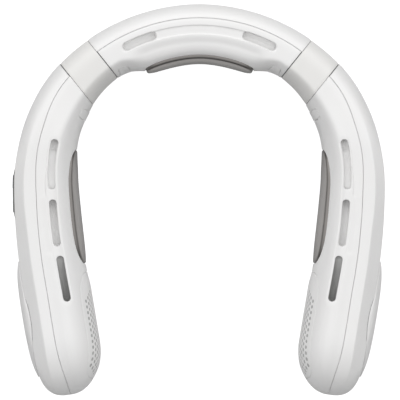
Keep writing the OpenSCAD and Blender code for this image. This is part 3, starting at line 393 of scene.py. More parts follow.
wrap = finish("PVC shrink wrap blue", "#5577a8", "#4c6c9c", 2.0, 0.05, 0.3, IOR=1.53)
solder_mask = finish("Epoxy solder mask green", "#2f6b46", "#285f3d", 0.6, 0.01, 0.3, IOR=1.55)
print("nine plastics and rubbers")

# %% [markdown]
# The cooling plates are aluminium, bead-blasted and anodised a warm grey. Blasting leaves dimples that
# spread each reflection into a soft gradient, and anodising darkens the metal.

# %% Metals and ceramic
plate_metal = finish("Aluminium bead-blasted anodised warm grey", "#8b8886", "#827f7c", 0.4, 0.006, 0.34,
                     metallic=1.0)
fin_metal = finish("Aluminium extruded mill finish", "#c9c9c8", "#bcbcbb", 0.8, 0.01, 0.4, metallic=1.0)
steel = finish("Steel nickel-plated", "#c4c5c8", "#b9babd", 0.6, 0.004, 0.25, metallic=1.0)
ceramic = finish("Alumina sintered matte white", "#eceae4", "#e4e2dc", 0.4, 0.01, 0.55, IOR=1.76)
print("three metals and a ceramic")

# %% [markdown]
# ## Mesh helpers
# A moulded shell is a sheet with a thickness, so most pieces are two grids of points, a front and a back,
# joined round the edge. A bevel would round every edge alike. Here the first rows and columns round the
# edge that shows.

# %% Solids from grids
QUARTER = [(1 - math.sin(math.radians(a)), 1 - math.cos(math.radians(a))) for a in (0, 30, 60, 90)]
merge_mm = 0.002


def grid_faces(rows, cols, ring):
    """The faces of a solid between a front and a back grid."""
    count = rows * cols
    i, j = np.meshgrid(np.arange(rows - 1), np.arange(cols if ring else cols - 1), indexing="ij")
    a, b = i * cols + j, (i + 1) * cols + j
    c, d = (i + 1) * cols + (j + 1) % cols, i * cols + (j + 1) % cols
    faces = np.concatenate([np.stack([a, b, c, d], -1).reshape(-1, 4),
                            count + np.stack([a, d, c, b], -1).reshape(-1, 4)])
    edge = np.arange(cols if ring else cols - 1)
    after = (edge + 1) % cols
    high = (rows - 1) * cols
    sides = [np.stack([edge, after, count + after, count + edge], -1),
             np.stack([high + after, high + edge, count + high + edge, count + high + after], -1)]
    if not ring:
        step = np.arange(rows - 1) * cols
        last = step + cols - 1
        sides += [np.stack([step + cols, step, count + step, count + step + cols], -1),
                  np.stack([last, last + cols, count + last + cols, count + last], -1)]
    return np.concatenate([faces, *sides])


def object_of(name, mesh):
    thing = bpy.data.objects.new(name, mesh)
    bpy.context.scene.collection.objects.link(thing)
    return thing


def closed(name, points, faces, merge=0.0):
    mesh = bpy.data.meshes.new(name)
    mesh.from_pydata((points.reshape(-1, 3) * MM).tolist(), [], faces)
    work = bmesh.new()
    work.from_mesh(mesh)
    if merge:
        bmesh.ops.remove_doubles(work, verts=work.verts, dist=merge * MM)
    bmesh.ops.recalc_face_normals(work, faces=work.faces)
    if work.calc_volume(signed=True) < 0:
        bmesh.ops.reverse_faces(work, faces=work.faces)
    work.to_mesh(mesh)
    work.free()
    return object_of(name, mesh)


def solid(name, front, back, ring=False):
    """A closed piece between two grids, which can run round a ring."""
    faces = grid_faces(*front.shape[:2], ring).tolist()
    return closed(name, np.stack([front, back]), faces, merge=merge_mm)


def stacked(name, loops):
    """A closed piece from loops of points, capped at both ends."""
    loops = np.array(loops)
    rows, cols = loops.shape[:2]
    i, j = np.meshgrid(np.arange(rows - 1), np.arange(cols), indexing="ij")
    after = (j + 1) % cols
    faces = np.stack([i * cols + j, (i + 1) * cols + j, (i + 1) * cols + after, i * cols + after], -1)
    caps = [list(range(cols))[::-1], list(range((rows - 1) * cols, rows * cols))]
    return closed(name, loops, faces.reshape(-1, 4).tolist() + caps)


print("an edge is rounded in", len(QUARTER), "steps")

# %% [markdown]
# Openings are cut with booleans. One tool at a time would leave slivers, so all are joined first. A dressed
# mesh has its finish, its node and its body, and the right-hand pieces are mirrored twins.

# %% Cutting and dressing
crisp_angle = math.radians(40)


def cut(thing, cutters):
    """Takes the cutters out of a piece, all at once."""
    tool = bmesh.new()
    for cutter in cutters:
        tool.from_mesh(cutter.data)
        bpy.data.objects.remove(cutter)
    mesh = bpy.data.meshes.new("cutters")
    tool.to_mesh(mesh)
    tool.free()
    holder = object_of("cutters", mesh)
    modifier = thing.modifiers.new("cut", "BOOLEAN")
    modifier.object, modifier.operation, modifier.solver = holder, "DIFFERENCE", "MANIFOLD"
    shaped = bpy.data.meshes.new_from_object(thing.evaluated_get(bpy.context.evaluated_depsgraph_get()))
    thing.modifiers.clear()
    thing.data = shaped
    bpy.data.objects.remove(holder)
    print(thing.name, "has", len(shaped.polygons), "faces")


def dress(thing, material, slot, body, *nodes):
    """Gives a finished mesh its finish, the node that it stands for, and its body when that is a name."""
    thing.data.materials.clear()
    thing.data.materials.append(material)
    thing.data.shade_smooth()
    thing.data.set_sharp_from_angle(angle=crisp_angle)
    if nodes:
        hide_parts(*nodes)
    if isinstance(body, str):
        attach(thing, body)
    else:
        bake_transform(thing)


def mirrored(thing):
    """The right-hand twin of a left-hand mesh."""
    mesh = thing.data.copy()
    work = bmesh.new()
    work.from_mesh(mesh)
    for vert in work.verts:
        vert.co.x = -vert.co.x
    bmesh.ops.reverse_faces(work, faces=work.faces)
    work.to_mesh(mesh)
    work.free()
    return object_of(thing.name.replace("left", "right"), mesh)


def both(thing, material, slot, suffix, body="arm"):
    """Dresses the left piece and its right-hand twin, which stand for a node if it has one."""
    twin = mirrored(thing)
    for side, piece in (("left", thing), ("right", twin)):
        on = f"{side}_{body}" if body == "arm" else body
        node = f"{side}_{suffix}"
        dress(piece, material, slot, on, *([node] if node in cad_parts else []))


print(f"an edge over {math.degrees(crisp_angle):.0f} degrees stays crisp")

# %% [markdown]
# ## The shells
# The air leaves through slots on the neck side, which a shallow groove links. At the nape a soft hollow
# runs between the groove and the plate. Both are depths that are taken off the surface, which keeps the
# grid whole where a boolean would cut through it.

# %% The groove and the hollow
arm_slots = [((98.0, -1.40), (120.0, -3.25)), ((128.9, -3.65), (148.9, -4.45)),
             ((157.6, -5.05), (177.1, -5.4))]
arm_slot_w, neck_slot_w = 3.75, 4.3
neck_slot = (math.radians(17.4) * ring_r, math.radians(27.3) * ring_r)
neck_slot_u, neck_groove_u = 2.0, 1.65
groove = {"arm": dict(half=2.9, depth=0.22, ends=(98.0, 177.1)),
          "neck": dict(half=2.45, depth=0.5, ends=(-neck_slot[1], neck_slot[1]))}
groove_edge = 0.45
hollow = dict(start=-0.9, width=10.0, deepest=0.45, depth=0.9, half_l=39.0, fade=10.0)


def groove_u(kind, s):
    """The middle of the groove at s."""
    if kind == "neck":
        return np.full_like(s, neck_groove_u)
    at, out = np.array([end for slot in arm_slots for end in slot]).T
    offsets = np.linspace(-soft_reach, soft_reach, soft_samples)
    return sum(np.interp(s + o, at, out) for o in offsets) / soft_samples


def groove_depth(kind, s, u):
    """How much the groove and the hollow take off at s and u."""
    own = groove[kind]
    beyond = np.maximum(0, np.maximum(own["ends"][0] - s, s - own["ends"][1]))
    away = np.hypot(beyond, u - groove_u(kind, s))
    depth = own["depth"] * ease((own["half"] - away) / groove_edge)
    if kind == "neck":
        share = np.clip((hollow["start"] - u) / hollow["width"], 0, 1)
        deepest = hollow["deepest"]
        dip = ease(share / deepest) * (1 - ease((share - deepest) / (1 - deepest)))
        depth = depth + hollow["depth"] * dip * ease((hollow["half_l"] - np.abs(s)) / hollow["fade"])
    return depth


print(f"the arm's groove is {2 * groove['arm']['half']} mm wide")

# %% [markdown]
# The columns of a shell run down the band. They crowd at the lip, the crease and the groove, which shows
# those forms with fewer faces than an even grid.

# %% Columns of the grids
parting_gap, lip = 0.15, 0.15
lip_insets = [inset * lip for _, inset in QUARTER]
crease_clear, band_end = 0.06, 0.93
top_shares, band_shares = (0.2, 0.4, 0.6, 0.8, 1), (0, 0.2, 0.4, 0.6, 0.8, 1)
bend_shares = (-0.045, -0.033, -0.022, -0.011, 0, 0.011, 0.022, 0.033, 0.045)
side_shares = (0.95, 0.962, 0.972, 0.98, 0.986, 0.991, 0.9945, 0.997, 0.9988, 0.9997)
before_groove_shares = (0.25, 0.5, 0.75)
groove_edge_steps = (0.6, 0.1, -0.05, -0.2, -0.35, -0.55)
groove_columns, wall_columns, wall_crowding = 7, 46, 1.2


def lip_angles(s, side):
    return [angle_of(s, parting(s) + side * (parting_gap / 2 + shift * lip), inset * lip)
            for shift, inset in QUARTER]


def open_columns(s):
    """The angles and insets of an outer shell's columns, from lip to lip."""
    start = (parting(s) + parting_gap / 2 + lip) / open_w(s)
    crease = along(crease_shares, s)
    widths = [start + (crease - crease_clear - start) * t for t in top_shares]
    widths += [crease + x for x in bend_shares]
    widths += [crease + crease_clear + (band_end - crease - crease_clear) * t for t in band_shares]
    widths += [np.full_like(s, x) for x in side_shares]
    upper = lip_angles(s, 1) + [np.arccos(x ** (open_spread / 2)) for x in widths]
    insets = lip_insets + [0] * len(widths)
    return upper + [np.zeros_like(s)] + [-a for a in upper[::-1]], insets + [0] + insets[::-1]


def neck_columns(s, kind):
    """The angles and insets of an inner shell's columns, from lip to lip."""
    start = parting(s) - parting_gap / 2 - lip
    middle = groove_u(kind, s)
    edge = [groove[kind]["half"] + step for step in groove_edge_steps]
    offsets = [*edge, *np.linspace(edge[-1], -edge[-1], groove_columns)[1:-1], *[-e for e in edge[::-1]]]
    places = [start + (middle + edge[0] - start) * t for t in before_groove_shares]
    top = [angle_of(s, u) for u in places + [middle + o for o in offsets]]
    down = np.linspace(0, 1, wall_columns)[1:] ** wall_crowding
    side = [top[-1] + (math.pi - top[-1]) * t for t in down]
    upper = lip_angles(s, -1) + top + side
    insets = lip_insets + [0] * (len(top) + len(side))
    return upper + [2 * math.pi - a for a in upper[-2::-1]], insets + insets[-2::-1]


print("an outer shell has", len(open_columns(np.zeros(1))[1]), "columns")

# %% [markdown]
# The rows go across. Those at the nose follow a quarter circle, so that they stay evenly spaced. The back
# grid is the same surface, one wall deeper.

# %% Rows and shells
rim = 0.2
rim_rows = [shift * rim for shift, _ in QUARTER]
rim_insets = [inset * rim for _, inset in QUARTER]
neck_row_count, arm_row_count, tip_row_count = 130, 150, 40
skin = 0.03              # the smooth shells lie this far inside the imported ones' size


def shell_rows(kind, d):
    """The rows of a shell whose seam is the cut at d, and their insets."""
    start = cut_s(0.0, d)
    if kind == "neck":
        inner = np.linspace(-start + rim, start - rim, neck_row_count)[1:-1]
        return ([-start + r for r in rim_rows] + [*inner] + [start - r for r in rim_rows[::-1]],
                rim_insets + [0] * len(inner) + rim_insets[::-1])
    body = np.linspace(start + rim, side_l - nose_l, arm_row_count)[1:]
    turns = np.radians(np.linspace(0, 90, tip_row_count)[1:])
    tip = [side_l - nose_l * (1 - math.sin(a)) for a in turns]
    return [start + r for r in rim_rows] + [*body, *tip], rim_insets + [0] * (len(body) + len(tip))


def inner_s(s, inset):
    """The row at s, moved back for a deeper surface in the nose."""
    start = side_l - nose_l
    return np.where(np.abs(s) <= start, s, start + (s - start) * (nose_l - inset) / nose_l)


def shell(name, kind, open_side, d):
    """A shell of the neck piece or of an arm, from its seam at d."""
    rows, row_insets = shell_rows(kind, d)
    s = np.array(rows)
    angles, insets = open_columns(s) if open_side else neck_columns(s, kind)
    angles = np.stack(angles, -1)
    inset = np.maximum(np.array(insets)[None, :], np.array(row_insets)[:, None])
    grid_s = np.repeat(s[:, None], angles.shape[1], 1)
    grooved = 0 if open_side else groove_depth(kind, grid_s, section(grid_s, angles)[0])
    u, z = section(grid_s, angles, inset + grooved + skin)
    front = seat_at(inner_s(grid_s, 2 * skin), u, z, d)
    deep_s = inner_s(grid_s, wall)
    u, z = section(deep_s, angles, wall + grooved)
    return solid(name, seat_at(deep_s, u, z, d), front)


print("the neck piece has", neck_row_count, "rows and an arm", arm_row_count + tip_row_count)

# %% [markdown]
# Each cutter is a stack of loops that follow the curved surface. The first ones flare, so that the mouth of
# the cut is rounded, where a bevel afterwards would be uneven.

# %% Slot cutters
mouth_top = 1.6
FLARE = [(0.75, -0.02), (0.36, 0.06), (0.12, 0.24), (0.02, 0.6)]
slot_mouth, slot_above, slot_below = 0.45, 1.0, 2.5
slot_steps, slot_end_steps = 25, 14


def mouth(scale, above, floor):
    """Growth and depth pairs of a cutter, down to its floor."""
    flare = [(grow * scale, depth * scale) for grow, depth in FLARE]
    return [(mouth_top * scale, -above), *flare, (0, floor)]


def slot_outline(start, end, half):
    """Places s and u round a slot with round ends."""
    line = np.linspace(start[0], end[0], slot_steps)
    middle = np.linspace(start[1], end[1], slot_steps)
    turn = np.linspace(0, math.pi, slot_end_steps)[1:-1]
    s = [*line, *(end[0] + half * np.sin(turn)), *line[::-1], *(start[0] - half * np.sin(turn))]
    u = [*(middle + half), *(end[1] + half * np.cos(turn)), *(middle[::-1] - half),
         *(start[1] - half * np.cos(turn))]
    return np.array(s), np.array(u)


def top_z(kind, s, u, depth):
    """The height over the middle at a depth under the top surface, groove included."""
    _, z = section(s, angle_of(s, u))
    return z - groove_depth(kind, s, u) - depth


def slot_cutter(kind, start, end, width, up):
    """A cutter for a slot, in the bottom where up is -1."""
    loops = []
    for grow, depth in mouth(slot_mouth, slot_above, wall + slot_below):
        s, u = slot_outline(start, end, width / 2 + grow)
        loops.append(place(s, u, up * top_z(kind, s, u, depth)))
    return stacked("slot_cutter", loops)


print(f"a slot's mouth is rounded over {FLARE[0][0] * slot_mouth:.2f} mm")

# %% [markdown]
# Windows, pockets and plates are superellipses on a wall. Their points are spaced evenly, because equal
# angles would leave a kink at each corner.

# %% Window and hole cutters
oval_steps, fine_steps = 144, 720
round_steps, cross_reach = 96, 25.0
window_mouth, window_above = 0.5, 1.5


def oval_outline(s0, half_l, half_z, square):
    """Evenly spaced places round a superellipse."""
    a = np.linspace(0, 2 * math.pi, fine_steps + 1)
    reach = (np.abs(np.cos(a) / half_l) ** square + np.abs(np.sin(a) / half_z) ** square) ** (-1 / square)
    s, z = reach * np.cos(a), reach * np.sin(a)
    run = np.concatenate([[0], np.cumsum(np.hypot(np.diff(s), np.diff(z)))])
    at = np.linspace(0, run[-1], oval_steps, endpoint=False)
    return s0 + np.interp(at, run, s), np.interp(at, run, z)


def grown(oval, by):
    return {**oval, "half_l": oval["half_l"] + by, "half_z": oval["half_z"] + by}


def window_cutter(side, s0, half_l, half_z, square, floor, scale=window_mouth):
    loops = []
    for grow, depth in mouth(scale, window_above, floor):
        s, z = oval_outline(s0, half_l + grow, half_z + grow, square)
        loops.append(place(s, wall_at[side](s, z, depth), z))
    return stacked("window_cutter", loops)


def round_cutter(s0, radius, to):
    """A cylinder across the body, from its centre line to u = to."""
    a = around(round_steps)
    turn = spine(s0)[2]
    run, height = radius * np.cos(a), mid_z + radius * np.sin(a)
    loops = []
    for u in (0, to):
        x, y, _ = place(s0, u, 0)
        loops.append(np.stack([x - run * math.cos(turn), y - run * math.sin(turn), height], -1))
    return stacked("round_cutter", loops)


def block_cutter(x, y, z):
    """A box from three pairs of limits."""
    corners = [(0, 0), (1, 0), (1, 1), (0, 1)]
    return stacked("block_cutter", [[(x[i], y[j], height) for i, j in corners] for height in z])


print("an oval has", oval_steps, "points and a round hole", round_steps)

# %% [markdown]
# The photograph gives each plate, grille, cover, panel and strip its place. Its window in the shell is made
# from the same values, grown by the gap round it.

# %% Places on the walls
neck_plate = dict(s0=0.0, half_l=33.0, half_z=20.2, square=7.0)
arm_plate = dict(s0=quarter_l + 9.2, half_l=31.5, half_z=19.0, square=4.0)
grille = dict(s0=side_l - 33.0, half_l=26.5, half_z=21.0, square=4.5)
cover = dict(s0=side_l - 40.4, half_l=29.0, half_z=20.0, square=2.0)
panel = dict(s0=quarter_l + 3.4, half_l=12.0, half_z=7.0, square=2.6)
neck_strip = dict(s0=hinge_s - 14.7, half_l=2.9, half_z=20.5, square=7.0)
arm_strip = dict(s0=hinge_s + 18.9, half_l=2.9, half_z=20.5, square=7.0)
plate_gap, strip_gap, snug_gap = 0.45, 0.12, 0.1
window_deep = wall + 4
strip_t, grille_pocket, panel_pocket = 0.6, 0.8, 0.7
cover_gap, cover_pocket, cover_mouth = 0.6, 1.8, 0.2
fan_s, intake_r = side_l - 30.0, 14.4
button_at, flange_hole_r = 5.6, 4.2


def strip_cutter(oval, side=1):
    pocket = {**grown(oval, strip_gap), "s0": side * oval["s0"]}
    return window_cutter("neck", **pocket, floor=strip_t + strip_gap)


print(f"the fans' axles lie {side_l - fan_s:.0f} mm before the noses' ends")

# %% [markdown]
# The neck piece's outer shell is plain. Its inner one has a window for the plate, two air slots above and
# two below, a pocket for the strip beside each seam and a way in from below for the charging socket.

# %% The neck shells
shell_end = neck_cut - seam_gap
moulding = shell("neck_outer_shell_moulding", "neck", True, shell_end)
dress(moulding, white_abs, "white_shell", "neck", "neck_outer_shell")

moulding = shell("neck_inner_shell_moulding", "neck", False, neck_cut - wide_seam_gap)
tools = [window_cutter("neck", **grown(neck_plate, plate_gap), floor=window_deep)]
for side in (-1, 1):
    for up in (-1, 1):
        ends = sorted((side * s, neck_slot_u) for s in neck_slot)
        tools.append(slot_cutter("neck", *ends, neck_slot_w, up))
    tools.append(strip_cutter(neck_strip, side))
socket_half_w, socket_from_u, socket_to_u, socket_top, below = 4.6, 1.25, 4.75, 8.0, 2.0
nape_y = ring_y + ring_r
tools.append(block_cutter((-socket_half_w, socket_half_w), (nape_y + socket_from_u, nape_y + socket_to_u),
                          (-below, socket_top)))
cut(moulding, tools)
dress(moulding, white_abs, "white_shell", "neck", "neck_inner_shell")

# %% [markdown]
# Each arm's outer shell has a round intake with a pocket for its cover. The left one also has a pocket for
# the control panel and a hole behind each button, which gives the button's flange room to travel.

# %% The outer shells of the arms
shell_end = -neck_cut + wide_seam_gap
moulding = shell("left_outer_shell_moulding", "arm", True, shell_end)
cut(moulding, [round_cutter(fan_s, intake_r, cross_reach),
               window_cutter("open", **grown(cover, cover_gap), floor=cover_pocket, scale=cover_mouth)])
twin = mirrored(moulding)
button_holes = [round_cutter(panel["s0"] + side * button_at, flange_hole_r, cross_reach) for side in (-1, 1)]
cut(moulding, [window_cutter("open", **grown(panel, snug_gap), floor=panel_pocket)] + button_holes)
dress(moulding, white_abs, "white_shell", "left_arm", "left_outer_shell")
dress(twin, white_abs, "white_shell", "right_arm", "right_outer_shell")

# %% [markdown]
# The inner shells have slots above and below, a window for the plate, an intake with a pocket for its
# grille, and a pocket for the strip.

# %% The inner shells of the arms
moulding = shell("left_inner_shell_moulding", "arm", False, -neck_cut + seam_gap)
tools = [window_cutter("neck", **grown(arm_plate, plate_gap), floor=window_deep),
         window_cutter("neck", **grown(grille, snug_gap), floor=grille_pocket),
         round_cutter(fan_s, intake_r, -cross_reach), strip_cutter(arm_strip)]
tools += [slot_cutter("arm", *ends, arm_slot_w, up) for ends in arm_slots for up in (-1, 1)]
cut(moulding, tools)
both(moulding, white_abs, "white_shell", "inner_shell")

# %% [markdown]
# ## The sleeves
# Each sleeve is one soft moulded tube over the hinge, which bends with the arm. Its mesh is blended between
# the neck piece and the arm, from seam to seam, and is tied to neither. A rigid sleeve would tear open at
# one of them.

# %% The hinge sleeves
sleeve_wall, sleeve_sink, sleeve_rows = 3.0, 0.2, 26
ring_angles = around(120)


def sleeve_grid(places, inset):
    """Rings from seam to seam, at pairs of a share of the way and a sinking."""
    grid = []
    for t, sunk in places:
        middle = cut_s(0.0, neck_cut) * (1 - t) + cut_s(0.0, -neck_cut) * t
        u, z = section(np.full_like(ring_angles, middle), ring_angles, inset + sunk)
        s = cut_s(u, neck_cut) * (1 - t) + cut_s(u, -neck_cut) * t
        grid.append(place(s, u, z))
    return np.stack(grid)


edge_places = [(row / sleeve_l, inset) for row, inset in zip(rim_rows, rim_insets)]
middle_t = np.linspace(edge_places[-1][0], 1 - edge_places[-1][0], sleeve_rows)[1:-1]
places = edge_places + [(t, 0) for t in middle_t] + [(1 - t, inset) for t, inset in edge_places[::-1]]
lining = sleeve_grid([(t, 0) for t, _ in places], sleeve_sink + sleeve_wall)
sleeve = solid("left_hinge_sleeve_moulding", lining, sleeve_grid(places, sleeve_sink), ring=True)
twin = mirrored(sleeve)
for side, flip, piece in (("left", 1, sleeve), ("right", -1, twin)):
    ends = [place(cut_s(0.0, d), 0, 0) * MM * (flip, 1, 1) for d in (neck_cut, -neck_cut)]
    bend = ("neck", f"{side}_arm", *map(tuple, ends))
    dress(piece, silicone, "warm_silicone", bend, f"{side}_hinge_sleeve")
print("two sleeves of", len(sleeve.data.polygons), "faces")

# %% [markdown]
# In each seam a black flange of the bracket comes up to just under the surface, which keeps the light from
# shining through. Its black is painted shade: it makes the seam as dark as a deep narrow gap. A painted line
# wouldn't open up when the arm bends.

# %% The flanges in the seams
flange_inset, flange_h, flange_clear = 0.45, 4.0, 0.02
# The flanges' black is painted shade, which darkens each seam as shade in a deep narrow gap would.
for part, near in (("neck", neck_cut), ("arm", -neck_cut)):
    outwards = math.copysign(1, near)
    ends = sorted((near + outwards * flange_clear, near + outwards * (wide_seam_gap - flange_clear)))
    layers = []
    for inset in (flange_inset + flange_h, flange_inset):
        u, z = section(np.full_like(ring_angles, cut_s(0.0, near)), ring_angles, inset)
        layers.append(np.stack([place(cut_s(u, d), u, z) for d in ends]))
    flange = solid(f"left_{part}_seam_flange", *layers, ring=True)
    both(flange, black_abs, "dark_plastic", f"{part}_seam_flange", body=part)
print("four flanges in the seams")

# %% [markdown]
# ## Plates, grilles and covers
# These pieces lie on the curved walls. A flat part could be wrapped onto them, but it would show every
# fault of what it lies on. Here each is a set of loops from its middle to its rim, on the same formula.

# %% Pieces that lie on a wall
edge_steps, centre_share, back_shares = 5, 0.02, (0.7, 0.4, 0.02)


def soft_edge(radius):
    """Shrink and sink pairs round a quarter circle."""
    angles = np.linspace(0, math.pi / 2, edge_steps)
    return [(radius * (1 - math.sin(a)), radius * (1 - math.cos(a))) for a in angles]


def wall_piece(name, side, s0, half_l, half_z, square, height, back, edge_r, rings=22):
    """A closed piece on a wall. height(share, s) is how far its face stands out."""
    loops = []

    def loop(length, width, depth):
        s, z = oval_outline(s0, length, width, square)
        loops.append(place(s, wall_at[side](s, z, depth(s)), z))

    for share in np.linspace(centre_share, 1, rings):
        loop((half_l - edge_r) * share, (half_z - edge_r) * share, lambda s: -height(share, s))
    for shrink, sink in soft_edge(edge_r)[1:]:
        loop(half_l - shrink, half_z - shrink, lambda s: -height(1.0, s) + sink)
    for share in (1, *back_shares):
        loop(half_l * share, half_z * share, lambda s: back)
    return stacked(name, loops)


def level(height):
    return lambda share, s: height


print("a soft edge has", edge_steps, "steps")

# %% [markdown]
# The cooling plates are pressed from aluminium sheet with a rolled edge, and stand a little out of their
# windows to reach the skin. Those on the arms sink into the shell towards both ends.

# %% The cooling plates
plate_proud, plate_t, plate_edge_r = 1.2, 2.6, 0.9
end_sink_share, end_sink_power = 0.9, 4


def arm_plate_height(share, s):
    out = np.abs((s - arm_plate["s0"]) / arm_plate["half_l"])
    return plate_proud * (1 - end_sink_share * out ** end_sink_power)


plate_form = dict(back=plate_t - plate_proud, edge_r=plate_edge_r)
plate = wall_piece("neck_cooling_plate_face", "neck", **neck_plate, height=level(plate_proud), **plate_form)
dress(plate, plate_metal, "brushed_aluminium", "neck", "neck_cooling_plate")
plate = wall_piece("left_cooling_plate_face", "neck", **arm_plate, height=arm_plate_height, **plate_form)
both(plate, plate_metal, "brushed_aluminium", "cooling_plate")
print("three cooling plates")

# %% [markdown]
# A thin strip of trim lies in a pocket on each side of a sleeve, flush with the shell, so that only the
# fine line round it shows.

# %% Strips beside the seams
strip_edge_r, strip_rings = 0.2, 6
for part, oval in (("neck", neck_strip), ("arm", arm_strip)):
    strip = wall_piece(f"left_{part}_strip_face", "neck", **oval, height=level(0.0), back=strip_t,
                       edge_r=strip_edge_r, rings=strip_rings)
    both(strip, white_abs, "white_shell", f"{part}_strip", body=part)
print("four strips")

# %% [markdown]
# Under the arm's slots lie the channels of the duct and of the fan's housing. What shows is a smooth floor:
# nearly level under the first slot, deeper under the second, and falling steeply under the last.

# %% Channel floors
channel_drops = [((0, 7.6), (0.1, 5.0), (0.3, 3.6), (1, 3.2)), ((0, 6.2), (0.3, 5.6), (0.6, 5.2), (1, 6.0)),
                 ((0, 2.5), (0.35, 5.4), (1, 8.4))]
channel_reach, channel_t = 0.35, 0.8
drop_reach_share, drop_samples = 0.1, 9
bowl_rise, bowl_power = 0.9, 4
channel_rows, channel_columns = 60, 13
reach = arm_slot_w / 2 + channel_reach
across = np.linspace(-1, 1, channel_columns)
for number, (ends, drops) in enumerate(zip(arm_slots, channel_drops), 1):
    line = np.linspace(ends[0][0] - reach, ends[1][0] + reach, channel_rows)
    share = np.clip((line - ends[0][0]) / (ends[1][0] - ends[0][0]), 0, 1)
    offsets = np.linspace(-drop_reach_share, drop_reach_share, drop_samples)
    drop = sum(np.interp(share + o, *np.array(drops).T) for o in offsets) / drop_samples
    s = np.repeat(line[:, None], len(across), 1)
    u = np.interp(line, *np.array(ends).T)[:, None] + reach * across[None, :]
    bowl = np.broadcast_to((bowl_rise * np.abs(across) ** bowl_power)[None, :], s.shape)
    floor_z = top_z("arm", s, u, drop[:, None] - bowl)
    plastic, slot = (grey_abs, "grey_plastic") if number == 3 else (white_abs, "white_shell")
    for up, where in ((1, "upper"), (-1, "lower")):
        name = f"{where}_channel_{number}"
        channel = solid(f"left_{name}", place(s, u, up * (floor_z - channel_t)), place(s, u, up * floor_z))
        both(channel, plastic, slot, name)
print("twelve channel floors,", channel_rows, "rows each")

# %% [markdown]
# The air goes in through small holes in staggered rows. A texture would stay flat when seen from the side,
# so each hole is cut, with a small flare at its mouth.

# %% Fields of holes
hole_pitch, hole_rows, hole_cols, hole_sides = 2.9, 12, 14, 12
hole_flare, hole_above, hole_lip, hole_neck = 1.15, 0.5, 0.02, 0.18


def hole_places(middle_s, reach_l, reach_z, square):
    """Places of a staggered pattern of holes inside an oval."""
    found = []
    for row in range(-hole_rows, hole_rows + 1):
        for col in range(-hole_cols, hole_cols + 1):
            s = middle_s + (col + 0.5 * (row % 2)) * hole_pitch
            z = row * hole_pitch * math.sqrt(3) / 2
            if (abs(s - middle_s) / reach_l) ** square + (abs(z) / reach_z) ** square <= 1:
                found.append((s, z))
    return found


def hole_cutters(side, holes, radius, high, low):
    """Cutters for holes in a face that stands out by high, down to low."""
    a = around(hole_sides)
    steps = [(radius * hole_flare, -high - hole_above), (radius * hole_flare, -high + hole_lip),
             (radius, -high + hole_neck), (radius, low)]
    tools = []
    for s0, z0 in holes:
        rings = [(s0 + r * np.cos(a), z0 + r * np.sin(a), depth) for r, depth in steps]
        tools.append(stacked("hole", [place(s, wall_at[side](s, z, depth), z) for s, z, depth in rings]))
    return tools


print(f"the holes lie {hole_pitch} mm apart")

# %% [markdown]
# The grille on the neck side is a low moulded pad. A grey mesh lies just under the mouths of its holes, and
# its grey is painted shade: it makes the shallow holes look like the dark grey dots that deep ones would be.

# %% The intake grilles
grille_proud, grille_edge_gain, grille_back, grille_edge_r = 0.5, 4, 0.7, 0.3
painted_shade_sink, mesh_inside, mesh_bottom, mesh_edge_r = 0.12, 1.2, 0.65, 0.1


def grille_height(share, s):
    return grille_proud * ease((1 - share) * grille_edge_gain)


def under(height, oval):
    return lambda share, s: height(share * (1 - mesh_inside / oval["half_l"]), s) - painted_shade_sink


# Painted shade: this grey sheet sits just under the holes' mouths so that they show as dark dots.
mesh = wall_piece("left_intake_mesh", "neck", **grown(grille, -mesh_inside), back=mesh_bottom,
                  height=under(grille_height, grille), edge_r=mesh_edge_r)
both(mesh, grey_abs, "grey_plastic", "intake_mesh")
moulding = wall_piece("left_intake_grille_moulding", "neck", **grille, height=grille_height,
                      back=grille_back, edge_r=grille_edge_r)
holes_s, holes_half_l, holes_half_z, hole_r, hole_depth = 196.3, 21.0, 19.5, 0.9, 1.5
holes = hole_places(holes_s, holes_half_l, holes_half_z, grille["square"])
cut(moulding, hole_cutters("neck", holes, hole_r, grille_proud, hole_depth))
both(moulding, white_abs, "white_cover", "intake_grille")
print("each grille has", len(holes), "holes")

# %% [markdown]
# The cover is a raised oval dome, which rises fast at its upper end and runs out slowly towards the nose. A
# grey seal closes the pocket round it, and its grey is painted shade: it draws the dark of the gap as the
# fine line at its rim.

# %% The intake covers
cover_rim, cover_rise, cover_run_out, cover_power = 0.6, 2.1, 0.9, 4
cover_back, cover_edge_r, seal_wider, seal_bottom = 0.3, 0.5, 0.35, 1.6


def cover_height(share, s):
    lower = np.clip((s - cover["s0"]) / cover["half_l"], 0, 1)
    return cover_rim + (cover_rise - cover_run_out * lower ** 2) * (1 - share ** cover_power)


moulding = wall_piece("left_intake_cover_moulding", "open", **cover, height=cover_height, back=cover_back,
                      edge_r=cover_edge_r)
holes_reach, hole_r, cover_top = 13.0, 0.75, 2.3
holes = hole_places(fan_s, holes_reach, holes_reach, cover["square"])
cut(moulding, hole_cutters("open", holes, hole_r, cover_top, 2 * cover_back))
both(moulding, white_abs, "white_cover", "intake_cover")
# Painted shade: this grey sheet sits just under the cover's holes so that they show as dark dots.
mesh = wall_piece("left_cover_mesh", "open", **grown(cover, -mesh_inside), height=under(cover_height, cover),
                  back=cover_back / 2, edge_r=mesh_edge_r)
both(mesh, grey_abs, "grey_plastic", "cover_mesh")
# The seal's grey is painted shade: it shows as the dark line of the gap round the cover.
seal = wall_piece("left_cover_seal", "open", **grown(cover, seal_wider), height=level(-cover_back),
                  back=seal_bottom, edge_r=mesh_edge_r)
both(seal, grey_rubber, "grey_rubber_button", "cover_seal")
print("each cover has", len(holes), "holes")

# %% [markdown]
# The control panel is a low oval of polished black acrylic with a round hole for each button. From above
# only its raised edge shows, as a dark line on the side of the left arm.

